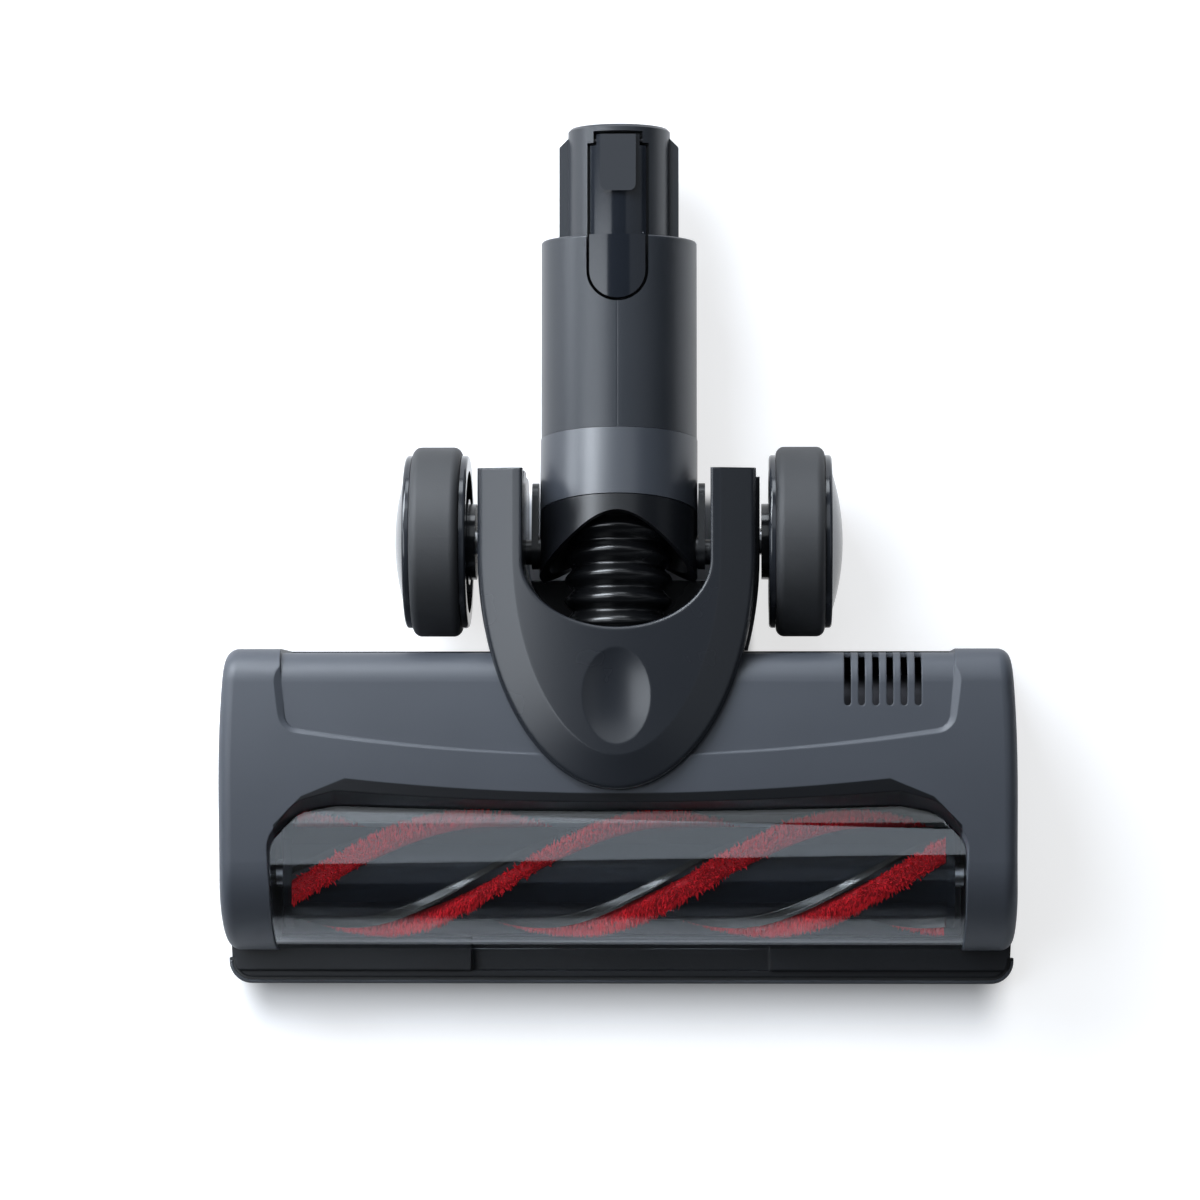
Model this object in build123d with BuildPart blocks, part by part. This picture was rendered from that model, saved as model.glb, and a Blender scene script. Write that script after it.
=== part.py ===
from build123d import *
from math import acos, atan2, cos, degrees, radians, sin, sqrt
import os

# Floor brush head of a stick vacuum cleaner.
# Millimetres, +Z up, +Y towards the wand, origin on the floor under the middle of the box.

# Clearances
seat_gap = 0.15  # between two fixed pieces that face each other
run_gap = 0.06  # radial, shaft in its bearing
part_gap = 0.4  # open gap round a piece that moves or drops in

# Housing shell
housing_half_width = 120.0
housing_rear_y = -28.4
housing_top_z = 56.5
seam_z = 13.0
wall = 2.6
rear_round = 10.0
edge_round = 4.0
corner_inset = 8.0  # how far the rear corner starts in from the side
corner_slope = 0.2
side_bow_rear = 2.4  # how far the sides draw in at the rear, the middle and the front
side_bow_middle = 0.85
side_bow_front = 1.2
side_taper = 0.06
nose_back = 10.0  # middle of the nose behind and below the roller's axis
nose_drop = 2.6
nose_blend = 0.18  # where the top runs into the nose, as a share of its radius
panel_depth = 1.2
panel_margin = 21.4  # from the side of the shell to the panel
panel_flare = 2.2
panel_corner_y = -51.8
panel_front_y = -60.2
panel_corner_round = 4.5
panel_slope_width = 2.2

# Window
cheek_width = 16.0  # shell left beside the window
window_shoulder_in = 20.0
window_shoulder_y = -75.0
window_shoulder_round = 12.0
window_centre_y = -76.6
window_corner_in = 8.5
window_corner_y = -77.2
window_corner_round = 8.0
window_side_y = -86.5
window_sink = 0.4
window_thickness = 2.0
bevel_grow = 6.6  # how far the bevel runs out over the window's shoulder
bevel_centre_grow = 4.2
bevel_side_grow = 1.4
bevel_corner_share = 0.8
bevel_side_share = 0.6
bevel_rise = 8.0
frame_width = 6.0
frame_depth = 4.0

# Cooling vents
vent_count = 6
vent_pitch = 4.18
vent_width = 2.0
vent_inset = 41.1  # from the side of the shell to the middle vent
vent_front_y = -45.5
vent_low_z = 42.0

# Sole
sole_z = 3.0
sole_thickness = 2.5
lip_front_y = -128.0
lip_step_y = -125.9
lip_step_depth = 2.0
lip_corner_round = 5.0
intake_half_width = 45.5
intake_floor_z = 9.0
intake_notch = 2.0  # how much higher the window ends over the intake
mouth_clear = 1.0  # at the roller's ends
mouth_side_clear = 2.1  # ahead of and behind the bristles
bumper_thickness = 2.0
bumper_low_z = 4.0
bumper_height = 6.0

# Brush roller
roller_y = -96.0
bristle_radius = 20.0
bristle_lift = 0.6  # between the bristles and the floor
bristle_clear = 0.7  # between the bristles and the window
bristle_length = 6.0
fin_length = 3.6
roller_end_gap = 3.2
flange_thickness = 2.5
flange_rise = 2.5
strip_count = 3
strip_lead = 174.0
strip_top_x = 27.2  # where one strip crosses the top of the roller
bristle_width = 5.5
fin_width = 3.0
fin_lead_angle = 24.0
roller_shaft_radius = 4.0

# Roller drive
drive_room = 15.8  # from the side of the shell to a bulkhead
bulkhead_thickness = 2.0
bearing_radius = 8.0
motor_y = -50.0
motor_z = 33.0
motor_radius = 14.0
motor_length = 46.0
motor_wall = 1.5
rotor_radius = 11.0
motor_shaft_radius = 2.0
belt_width = 5.0
belt_room = 1.5  # between a bulkhead and the belt
belt_thickness = 1.3
belt_clear = 0.2
rib_count = 3
rib_pitch = 1.6
rib_depth = 1.0
roller_pulley_radius = 12.0
motor_pulley_radius = 5.0

# Air path
tunnel_clear = 3.2
tunnel_wall = 1.8
tunnel_bend = 20.0  # angle above the roller's axis where the wall turns straight up
duct_bore_radius = 13.0
duct_wall = 2.0
duct_flange_radius = 17.4
duct_end_y = -23.6

# Yoke
ear_clear = 1.8  # between the collar's ears and the arms
arm_width = 13.5
arm_rear_y = 25.0
arm_end_round = 9.0
yoke_ellipse_y = 0.0
yoke_tip_y = -70.6
yoke_top_z = 60.0
arch_y = -38.0  # the top is a long arch, highest here
arch_radius = 320.0
bevel_band = 10.5  # sloping band round the top
bevel_drop = 2.6
yoke_edge_round = 2.0
yoke_split_z = 33.5
yoke_low_z = 11.0
opening_curve_y = -2.2
opening_front_y = -22.2
opening_lip_round = 0.8
base_skirt = 1.2
base_floor = 2.5  # tray under the bellows
base_floor_rear_y = -6.7
dimple_half_width = 10.0
dimple_half_length = 14.2
dimple_depth = 1.8
dimple_y = -42.5

# Wheels
axle_y = 4.4
wheel_radius = 28.7
wheel_gap = 3.9  # between an arm and the hub's rim
tyre_step = 2.1  # how far the hub's rim stands out beside the tyre
tyre_width = 14.8
tyre_thickness = 4.5
tyre_round = 2.6
hub_inset = 2.5
hub_lip_round = 1.0
hub_boss_radius = 11.5
hub_boss_gap = 0.5
hub_pocket_inner_radius = 13.0
hub_rim = 4.7
hub_pocket_depth = 6.0
cap_inset = 4.8
cap_seat = 1.5
cap_dome = 3.4
axle_radius = 4.0
axle_seat = 6.4  # how deep an axle sits in its arm

# Sole rollers
sole_roller_inset = 50.0  # from the side of the shell
sole_roller_y = -62.0
sole_roller_radius = 6.0
sole_roller_width = 9.0
sole_roller_round = 1.2
sole_axle_radius = 1.5
pocket_wall = 1.6
pocket_clear = 1.0

# Pivot collar and neck
trunnion_y = 1.0
trunnion_z = 33.5
trunnion_radius = 3.8
trunnion_depth = 5.6  # how far a trunnion reaches into its arm
swivel_tilt = 13.0
collar_radius = 23.8
collar_wall = 3.0
collar_front_s = -7.6
swivel_seam_s = 11.7
mitre_s = 35.2
swivel_gap = 0.3
arch_peak_s = 6.7
arch_waist_x = 14.5
arch_waist_s = -0.5
arch_foot_inset = 1.4
arch_foot_s = -7.0
shelf_s = 7.5
shelf_thickness = 2.6
sleeve_inset = 4.0
sleeve_wall = 2.2
sleeve_length = 8.0
clip_rise = 1.1
clip_thickness = 1.6
clip_land = 1.0  # sleeve left beyond the clip
clip_opening = 9.0
groove_depth = 1.2
ear_thickness = 2.0
ear_boss_radius = 5.0
ear_radius = 5.2
ear_reach = 21.5
tube_step = 0.2
tube_wall = 2.6
tube_end_y = 95.7
tube_cap = 3.0
tube_end_round = 0.8

# Bellows
bellows_radius = 16.3
bellows_valley = 13.9
bellows_wall = 1.0
bellows_cuff = 3.3
fold_pitch = 6.1
fold_count = 6

# Wand spigot
spigot_tip_y = 130.0
spigot_radius = 15.5
spigot_wall = 2.3
spigot_inner_y = 44.0
spigot_flange_thickness = 3.0
spigot_flat_h = 8.2  # height of the bore's flat roof above the neck's axis
spigot_roof = 1.2
spigot_tip_chamfer = 0.8
rib_reach = 18.1
rib_height = 5.0
rib_end_y = 127.0
rib_chamfer = 2.6

# Latch
latch_half_width = 8.4
latch_gap = 0.9
latch_pad_y = 85.0
latch_shoulder_y = 123.5
latch_hinge_y = 125.2
latch_hinge_h = 11.5
latch_boss_radius = 1.7
latch_low_h = 12.6
latch_tab_half_width = 6.5
latch_tab_end_y = 126.8
latch_slot_end_y = 127.9
latch_riser = 2.6
catch_y = 109.6
catch_height = 1.3
catch_half_width = 5.4
catch_round = 2.0
latch_pin_radius = 1.0
latch_pin_half_length = 9.2
latch_spring_y = 86.0
spring_radius = 3.0
spring_wire = 0.5
spring_turns = 3.5

# Electric contacts in the spigot
contact_half_width = 5.5
contact_top_h = -8.4
contact_front_y = 112.0
contact_back_y = 127.5
contact_pin_radius = 1.0
contact_pin_x = 2.8
contact_pin_h = -10.4
contact_pin_tip = 2.0

# Screws
screw_head_radius = 2.9
screw_head_height = 1.8
screw_radius = 1.45
screw_length = 16.0
boss_radius = 3.2
corner_screw_inset = 9.4
rear_screw_y = -35.6
front_screw_y = -113.2
middle_screw_x = 30.0
yoke_screw_inset = 6.4
yoke_screw_rear_y = 16.0
yoke_screw_front_y = -14.0
yoke_screw_sink = 5.0

# Values worked out from the sizes above
axle_z = wheel_radius
hub_radius = wheel_radius - hub_inset
hub_pocket_outer_radius = hub_radius - hub_rim
cap_radius = hub_radius - cap_inset
tube_radius = collar_radius - tube_step
sleeve_radius = collar_radius - sleeve_inset
clip_radius = sleeve_radius + clip_rise
arch_foot_x = collar_radius - arch_foot_inset
ear_inner_x = collar_radius + swivel_gap
arm_inner_x = ear_inner_x + ear_thickness + ear_clear
arm_outer_x = arm_inner_x + arm_width
axle_inner_x = arm_outer_x - axle_seat
yoke_screw_x = arm_outer_x - yoke_screw_inset
hub_inner_x = arm_outer_x + wheel_gap
tyre_inner_x = hub_inner_x + tyre_step
tyre_outer_x = tyre_inner_x + tyre_width
hub_outer_x = tyre_outer_x + tyre_step
roller_z = bristle_radius + bristle_lift
core_radius = bristle_radius - bristle_length
fin_radius = core_radius + fin_length
flange_radius = core_radius + flange_rise
tunnel_radius = bristle_radius + tunnel_clear
nose_y = roller_y + nose_back
nose_z = roller_z - nose_drop
nose_offset = sqrt(nose_back**2 + nose_drop**2)
nose_radius = nose_offset + bristle_radius + bristle_clear + window_thickness + window_sink
panel_half_width = housing_half_width - panel_margin
window_half_width = housing_half_width - cheek_width
window_shoulder_x = window_half_width - window_shoulder_in
window_corner_x = window_half_width - window_corner_in
vent_middle_x = housing_half_width - vent_inset
bulkhead_x = housing_half_width - drive_room
roller_half_length = bulkhead_x - roller_end_gap
sole_roller_x = housing_half_width - sole_roller_inset
corner_screw_x = housing_half_width - corner_screw_inset
top_limit = 2 * housing_top_z
panel_z = housing_top_z - panel_depth
window_radius = nose_radius - window_sink
window_top_z = nose_z + sqrt(window_radius**2 - (window_shoulder_y - nose_y) ** 2)
frame_low_z = window_top_z - frame_depth
floor_z = sole_z + sole_thickness
chamber_front_y = nose_y - sqrt(nose_radius**2 - (seam_z - nose_z) ** 2) + wall
belt_x = bulkhead_x + bulkhead_thickness + belt_room
duct_radius = duct_bore_radius + duct_wall
spout_y = window_centre_y + frame_width + seat_gap
vent_length = 2 * (housing_rear_y + wall - vent_front_y)
mouth_half_width = roller_half_length + mouth_clear
mouth_reach = sqrt(bristle_radius**2 - (roller_z - floor_z) ** 2) + mouth_side_clear
mouth_front_y = roller_y - mouth_reach
mouth_rear_y = roller_y + mouth_reach
pocket_length = 2 * (sole_roller_radius + pocket_clear)
pocket_width = sole_roller_width + 2 * pocket_clear
lip_half_width = housing_half_width - bumper_thickness
strip_half_length = roller_half_length - flange_thickness - seat_gap
screw_spots = [
    (side * x, y)
    for side in (-1, 1)
    for x, y in (
        (corner_screw_x, rear_screw_y),
        (corner_screw_x, front_screw_y),
        (middle_screw_x, rear_screw_y),
    )
]
yoke_screw_spots = [
    (side * yoke_screw_x, y) for side in (-1, 1) for y in (yoke_screw_rear_y, yoke_screw_front_y)
]
tilt_cos = cos(radians(swivel_tilt))
tilt_sin = sin(radians(swivel_tilt))
neck_y = trunnion_y + mitre_s * tilt_cos
neck_z = trunnion_z - mitre_s * tilt_sin
roof_h = spigot_flat_h + spigot_roof
latch_slot_front_y = latch_pad_y - latch_half_width - latch_gap
sleeve_end_s = swivel_seam_s + sleeve_length
clip_s = sleeve_end_s - clip_land - clip_thickness
groove_radius = sleeve_radius - groove_depth

# Planes of the neck: across the slanted swivel axis, and across the tube's level axis
swivel_axis = Vector(0, tilt_cos, -tilt_sin)
trunnion_point = Vector(0, trunnion_y, trunnion_z)
swivel_up = Vector(0, tilt_sin, tilt_cos)
swivel_plane = Plane(trunnion_point, x_dir=(-1, 0, 0), z_dir=swivel_axis)
arch_plane = Plane(trunnion_point, x_dir=(1, 0, 0), z_dir=swivel_up)
neck_plane = Plane((0, 0, neck_z), x_dir=(-1, 0, 0), z_dir=(0, 1, 0))
mitre_angle = radians(swivel_tilt / 2)
mitre_plane = Plane(
    (0, neck_y, neck_z),
    x_dir=(1, 0, 0),
    z_dir=(0, cos(mitre_angle), -sin(mitre_angle)),
)
roller_axis = Axis((0, roller_y, roller_z), (1, 0, 0))
wheel_axis = Axis((0, axle_y, axle_z), (1, 0, 0))
motor_axis = Axis((0, motor_y, motor_z), (1, 0, 0))


def ear_plane(side, x):
    """Plane on one side of the collar at x, with its x along the swivel axis, facing out."""
    return Plane((side * x, trunnion_y, trunnion_z), x_dir=swivel_axis, z_dir=(side, 0, 0))


def side_plane(side, y, z):
    """Plane through (y, z) with its x outwards on one side of the head and its y up."""
    return Plane((0, y, z), x_dir=(side, 0, 0), z_dir=(0, -side, 0))


def across(x, y, z):
    """Plane across the head at x, with its x to the back and its y up."""
    return Plane((x, y, z), x_dir=(0, 1, 0), z_dir=(1, 0, 0))


def back_plane(y, z=0.0):
    """Plane that faces the back at y, with its origin at height z and its y up."""
    return Plane((0, y, z), x_dir=(-1, 0, 0), z_dir=(0, 1, 0))


def save(piece, label):
    """Name a finished piece and write its file."""
    piece.part.label = label
    export_step(piece.part, f"parts/{label}.step")


def plan_outline(level, inset=0.0):
    """The shell seen from above: straight rear, swept corners and slightly bowed sides."""
    half = housing_half_width - inset
    rear = housing_rear_y + wall - inset
    front = nose_y - nose_radius - wall + inset
    with BuildSketch(Plane.XY.offset(level)) as outline:
        with BuildLine():
            side = Spline(
                (half - corner_inset, rear),
                (half - side_bow_rear, rear - corner_inset - wall),
                (half - side_bow_middle, roller_y),
                (half - side_bow_front, front),
                tangents=((1, -corner_slope), (-side_taper, -1)),
            )
            Line((0, rear), side @ 0)
            Line(side @ 1, (0, front))
            mirror(about=Plane.YZ)
        make_face()
    return outline.sketch


def side_profile(inset=0.0):
    """The shell's section: rear wall, rounded shoulder, falling top and round nose."""
    rear_y = housing_rear_y - inset
    top_z = housing_top_z - inset
    low_z = seam_z - inset
    radius = nose_radius - inset
    crest_y = housing_rear_y - rear_round
    blend_y = nose_y - radius * nose_blend
    blend_z = nose_z + sqrt(radius**2 - (blend_y - nose_y) ** 2)
    toe_y = nose_y - sqrt(radius**2 - (low_z - nose_z) ** 2)
    with BuildSketch(Plane.YZ) as profile:
        with BuildLine():
            rear = Line((rear_y, low_z), (rear_y, housing_top_z - rear_round))
            shoulder = TangentArc(rear @ 1, (crest_y, top_z), tangent=rear % 1)
            top = Spline(
                shoulder @ 1,
                (blend_y, blend_z),
                tangents=((-1, 0), (nose_z - blend_z, blend_y - nose_y)),
            )
            nose = ThreePointArc(top @ 1, (nose_y - radius, nose_z), (toe_y, low_z))
            Line(nose @ 1, rear @ 0)
        make_face()
    return profile.sketch


def window_outline(level, side_grow, shoulder_grow, centre_grow):
    """The window opening seen from above, with its sagging top edge and cut corners."""
    half = window_half_width + side_grow
    front = nose_y - nose_radius - 2 * wall
    corner = (window_corner_x + side_grow, window_corner_y + bevel_corner_share * shoulder_grow)
    shoulder = (window_shoulder_x, window_shoulder_y + shoulder_grow)
    with BuildSketch(Plane.XY.offset(level)) as outline:
        with BuildLine():
            edge = FilletPolyline(
                (half, front),
                (half, window_side_y + bevel_side_share * shoulder_grow),
                corner,
                shoulder,
                radius=(window_corner_round, window_shoulder_round),
            )
            ThreePointArc(
                shoulder,
                (0, window_centre_y + centre_grow),
                (-window_shoulder_x, window_shoulder_y + shoulder_grow),
            )
            mirror(edge, about=Plane.YZ)
            Line((half, front), (-half, front))
        make_face()
    return outline.sketch


def lip_outline(level, grow=0.0):
    """The front ledge seen from above, with rounded front corners."""
    half = lip_half_width + grow
    front = lip_front_y - grow
    with BuildSketch(Plane.XY.offset(level)) as outline:
        with Locations((0, front)):
            Rectangle(2 * half, nose_y - front, align=(Align.CENTER, Align.MIN))
        fillet(outline.vertices().group_by(Axis.Y)[0], radius=lip_corner_round + grow)
    return outline.sketch


def panel_outline(level, grow=0.0):
    """The lowered rear panel seen from above, its front edge bowed towards the window."""
    with BuildSketch(Plane.XY.offset(level)) as outline:
        with BuildLine():
            bow = ThreePointArc(
                (-panel_half_width, panel_corner_y),
                (0, panel_front_y),
                (panel_half_width, panel_corner_y),
            )
            right = Line(bow @ 1, (panel_half_width + panel_flare, housing_rear_y + wall))
            left = Line(bow @ 0, (-panel_half_width - panel_flare, housing_rear_y + wall))
            Line(right @ 1, left @ 1)
        make_face()
        fillet(outline.vertices().group_by(Axis.Y)[0], radius=panel_corner_round)
        if grow:
            offset(amount=grow)
    return outline.sketch


def yoke_outline(level, half_width, tip_y, rear_y):
    """The teardrop yoke seen from above: two straight arms running into a half ellipse."""
    depth = yoke_ellipse_y - tip_y
    with BuildSketch(Plane.XY.offset(level)) as outline:
        with BuildLine():
            nose = EllipticalCenterArc((0, yoke_ellipse_y), half_width, depth, 180, arc_size=180)
            right = Line(nose @ 1, (half_width, rear_y))
            left = Line(nose @ 0, (-half_width, rear_y))
            Line(right @ 1, left @ 1)
        make_face()
    return outline.sketch


def yoke_height(y):
    """Height of the yoke's arched top at y."""
    return yoke_top_z - arch_radius + sqrt(arch_radius**2 - (y - arch_y) ** 2)


def opening_outline(level):
    """The U between the arms, with a half-elliptical end."""
    depth = opening_curve_y - opening_front_y
    with BuildSketch(Plane.XY.offset(level)) as outline:
        with BuildLine():
            nose = EllipticalCenterArc((0, opening_curve_y), arm_inner_x, depth, 180, arc_size=180)
            right = Line(nose @ 1, (arm_inner_x, arm_rear_y + arm_outer_x))
            left = Line(nose @ 0, (-arm_inner_x, arm_rear_y + arm_outer_x))
            Line(right @ 1, left @ 1)
        make_face()
    return outline.sketch


os.makedirs("parts", exist_ok=True)

# Outer form of the shell, shared by the pieces that seat against it
with BuildPart() as housing_form:
    extrude(side_profile(), amount=housing_half_width + wall, both=True)
    extrude(plan_outline(seam_z), amount=top_limit, mode=Mode.INTERSECT)
    rim_edges = housing_form.edges().filter_by(lambda e: abs(e.center().X) > window_half_width)
    rim_edges = rim_edges.filter_by(lambda e: e.center().Z > seam_z + seat_gap)
    fillet(rim_edges, radius=edge_round)

# The hollow inside the shell
with BuildPart() as cavity_form:
    extrude(side_profile(wall), amount=housing_half_width, both=True)
    extrude(plan_outline(seam_z - wall, wall), amount=top_limit, mode=Mode.INTERSECT)

# Skin to take off for the lowered rear panel, with sloping walls
with BuildPart() as panel_skin:
    loft(
        [panel_outline(panel_z), panel_outline(panel_z + 2 * panel_depth, 2 * panel_slope_width)],
        ruled=True,
    )
    extrude(panel_outline(panel_z), amount=seam_z - panel_z - wall)
    extrude(side_profile(panel_depth), amount=housing_half_width, both=True, mode=Mode.SUBTRACT)

# Outside of the shell with the panel taken off, for the yoke to sit on
with BuildPart() as shell_form:
    add(housing_form.part)
    add(panel_skin.part, mode=Mode.SUBTRACT)

# Thick rim that carries the window's bevel
with BuildPart() as window_frame:
    extrude(
        window_outline(frame_low_z, frame_width, frame_width, frame_width),
        amount=top_limit,
    )
    add(housing_form.part, mode=Mode.INTERSECT)

# Screw bosses that hang from the shell's roof
with BuildPart() as shell_bosses:
    with BuildSketch(Plane.XY.offset(seam_z)):
        with Locations(*screw_spots):
            Circle(boss_radius)
    extrude(amount=top_limit)
    add(housing_form.part, mode=Mode.INTERSECT)

with BuildPart() as upper_housing:
    add(housing_form.part)
    add(cavity_form.part, mode=Mode.SUBTRACT)
    add(window_frame.part)
    add(shell_bosses.part)
    add(panel_skin.part, mode=Mode.SUBTRACT)
    loft(
        [
            window_outline(window_top_z, 0, 0, 0),
            window_outline(
                window_top_z + bevel_rise, bevel_side_grow, bevel_grow, bevel_centre_grow
            ),
        ],
        ruled=True,
        mode=Mode.SUBTRACT,
    )
    extrude(window_outline(seam_z - wall, 0, 0, 0), amount=top_limit, mode=Mode.SUBTRACT)
    with BuildSketch(Plane.XY.offset(vent_low_z)):
        with Locations((vent_middle_x, vent_front_y)):
            with GridLocations(vent_pitch, 1, vent_count, 1):
                with Locations((0, vent_length / 2)):
                    SlotOverall(vent_length, vent_width, rotation=90)
    extrude(amount=top_limit, mode=Mode.SUBTRACT)
    with BuildSketch(back_plane(housing_rear_y, trunnion_z)):
        Circle(duct_radius + seat_gap)
    extrude(amount=2 * wall, both=True, mode=Mode.SUBTRACT)
    with BuildSketch(Plane.XY.offset(seam_z)):
        with Locations(*screw_spots):
            Circle(screw_radius + run_gap)
    extrude(amount=screw_length, mode=Mode.SUBTRACT)
save(upper_housing, "upper_housing")

with BuildPart() as clear_window:
    with BuildSketch(across(0, nose_y, nose_z)):
        Circle(window_radius)
        Circle(window_radius - window_thickness, mode=Mode.SUBTRACT)
    extrude(amount=window_half_width - part_gap, both=True)
    extrude(
        window_outline(seam_z + seat_gap, -part_gap, -part_gap, -part_gap),
        amount=top_limit,
        mode=Mode.INTERSECT,
    )
    with BuildSketch(Plane.XY.offset(seam_z)):
        with Locations((0, nose_y - nose_radius)):
            Rectangle(2 * intake_half_width, nose_radius)
    extrude(amount=intake_notch, mode=Mode.SUBTRACT)
save(clear_window, "clear_window")

# Room inside the base, open to the shell above
with BuildPart() as base_room:
    extrude(plan_outline(floor_z, wall), amount=seam_z)
    with BuildSketch(Plane.XY.offset(floor_z)):
        room_rear_y = housing_rear_y - wall
        with Locations((0, (chamber_front_y + room_rear_y) / 2)):
            Rectangle(2 * housing_half_width, room_rear_y - chamber_front_y)
    extrude(amount=seam_z, mode=Mode.INTERSECT)

with BuildPart() as base_plate:
    extrude(plan_outline(sole_z), amount=seam_z - sole_z)
    extrude(lip_outline(sole_z), amount=seam_z - sole_z)
    with BuildSketch(Plane.XY.offset(sole_z)):
        with Locations((0, housing_rear_y)):
            Rectangle(2 * housing_half_width, 4 * wall, align=(Align.CENTER, Align.MIN))
    extrude(amount=seam_z, mode=Mode.SUBTRACT)
    with BuildSketch(Plane.XY.offset(seam_z - lip_step_depth)):
        with Locations((0, lip_step_y)):
            Rectangle(2 * housing_half_width, 4 * wall, align=(Align.CENTER, Align.MAX))
    extrude(amount=seam_z, mode=Mode.SUBTRACT)
    add(base_room.part, mode=Mode.SUBTRACT)
    with BuildSketch(Plane.XY.offset(intake_floor_z)):
        with Locations((0, lip_step_y)):
            Rectangle(
                2 * intake_half_width,
                chamber_front_y + wall - lip_step_y,
                align=(Align.CENTER, Align.MIN),
            )
    extrude(amount=seam_z, mode=Mode.SUBTRACT)
    with BuildSketch(Plane.XY.offset(floor_z)):
        with Locations(*screw_spots):
            Circle(boss_radius)
    extrude(amount=seam_z - floor_z)
    # Cradle ribs under the motor
    with BuildSketch(across(bulkhead_x - motor_length, motor_y, floor_z)):
        Rectangle(motor_radius, motor_z - floor_z, align=(Align.CENTER, Align.MIN))
    extrude(amount=3 * wall)
    with Locations(Location((bulkhead_x - motor_length, motor_y, motor_z), (0, 90, 0))):
        Cylinder(motor_radius + seat_gap, 8 * wall, mode=Mode.SUBTRACT)
    # Closed pockets for the two small sole rollers
    with BuildSketch(Plane.XY.offset(sole_z)):
        with Locations((-sole_roller_x, sole_roller_y), (sole_roller_x, sole_roller_y)):
            Rectangle(pocket_width + 2 * pocket_wall, pocket_length + 2 * pocket_wall)
    extrude(amount=2 * sole_roller_radius + pocket_clear + pocket_wall - sole_z)
    with BuildSketch(Plane.XY.offset(sole_z)):
        with Locations((-sole_roller_x, sole_roller_y), (sole_roller_x, sole_roller_y)):
            Rectangle(pocket_width, pocket_length)
    extrude(amount=2 * sole_roller_radius + pocket_clear - sole_z, mode=Mode.SUBTRACT)
    for side in (-1, 1):
        with BuildSketch(across(side * sole_roller_x, sole_roller_y, sole_roller_radius)):
            Circle(sole_axle_radius)
        extrude(amount=pocket_width / 2 + pocket_wall, both=True, mode=Mode.SUBTRACT)
    with BuildSketch(Plane.XY.offset(sole_z)):
        with Locations((0, mouth_front_y)):
            Rectangle(
                2 * mouth_half_width, mouth_rear_y - mouth_front_y, align=(Align.CENTER, Align.MIN)
            )
    extrude(amount=floor_z, mode=Mode.SUBTRACT)
    with BuildSketch(Plane.XY.offset(sole_z)):
        with Locations(*screw_spots):
            Circle(screw_head_radius + part_gap)
    extrude(amount=screw_head_height + part_gap, mode=Mode.SUBTRACT)
    with BuildSketch(Plane.XY.offset(sole_z)):
        with Locations(*screw_spots):
            Circle(screw_radius + run_gap)
    extrude(amount=seam_z, mode=Mode.SUBTRACT)
save(base_plate, "base_plate")

with BuildPart() as front_bumper:
    extrude(lip_outline(bumper_low_z, bumper_thickness), amount=bumper_height)
    extrude(lip_outline(bumper_low_z), amount=bumper_height, mode=Mode.SUBTRACT)
    with BuildSketch(Plane.XY.offset(bumper_low_z)):
        with Locations((0, nose_y - nose_radius - wall - seat_gap)):
            Rectangle(4 * lip_half_width, 4 * nose_radius, align=(Align.CENTER, Align.MIN))
    extrude(amount=bumper_height, mode=Mode.SUBTRACT)
save(front_bumper, "front_bumper")

with BuildPart() as roller_tunnel:
    # Curved wall behind the roller, running up straight to the window's rim
    bend_y = tunnel_radius * cos(radians(tunnel_bend))
    bend_z = tunnel_radius * sin(radians(tunnel_bend))
    back_y = sqrt((tunnel_radius + tunnel_wall) ** 2 - bend_z**2)
    low_z = floor_z + seat_gap - roller_z
    high_z = frame_low_z - seat_gap - roller_z
    with BuildSketch(across(0, roller_y, roller_z)):
        Circle(tunnel_radius + tunnel_wall)
        Circle(tunnel_radius, mode=Mode.SUBTRACT)
        with Locations((0, low_z)):
            Rectangle(
                2 * tunnel_radius,
                bend_z - low_z,
                align=(Align.MIN, Align.MIN),
                mode=Mode.INTERSECT,
            )
        with Locations((bend_y, bend_z)):
            Rectangle(back_y - bend_y, high_z - bend_z, align=(Align.MIN, Align.MIN))
    extrude(amount=bulkhead_x - seat_gap, both=True)
    with BuildSketch(back_plane(roller_y + bend_y, trunnion_z)):
        Circle(duct_radius)
        with Locations((0, frame_low_z - seat_gap - trunnion_z)):
            Rectangle(4 * duct_radius, 4 * duct_radius, align=(Align.CENTER, Align.MAX), mode=Mode.INTERSECT)
    extrude(amount=spout_y - roller_y - bend_y)
    with BuildSketch(back_plane(roller_y, trunnion_z)):
        Circle(duct_bore_radius)
    extrude(amount=spout_y - roller_y, mode=Mode.SUBTRACT)
save(roller_tunnel, "roller_tunnel")

with BuildPart() as suction_duct:
    with BuildSketch(back_plane(spout_y + seat_gap, trunnion_z)):
        Circle(duct_radius)
    extrude(amount=duct_end_y - spout_y - seat_gap)
    with BuildSketch(back_plane(duct_end_y, trunnion_z)):
        Circle(duct_flange_radius)
    extrude(amount=-duct_wall)
    with BuildSketch(back_plane(spout_y, trunnion_z)):
        Circle(duct_bore_radius)
    extrude(amount=duct_end_y - spout_y, mode=Mode.SUBTRACT)
save(suction_duct, "suction_duct")

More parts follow.
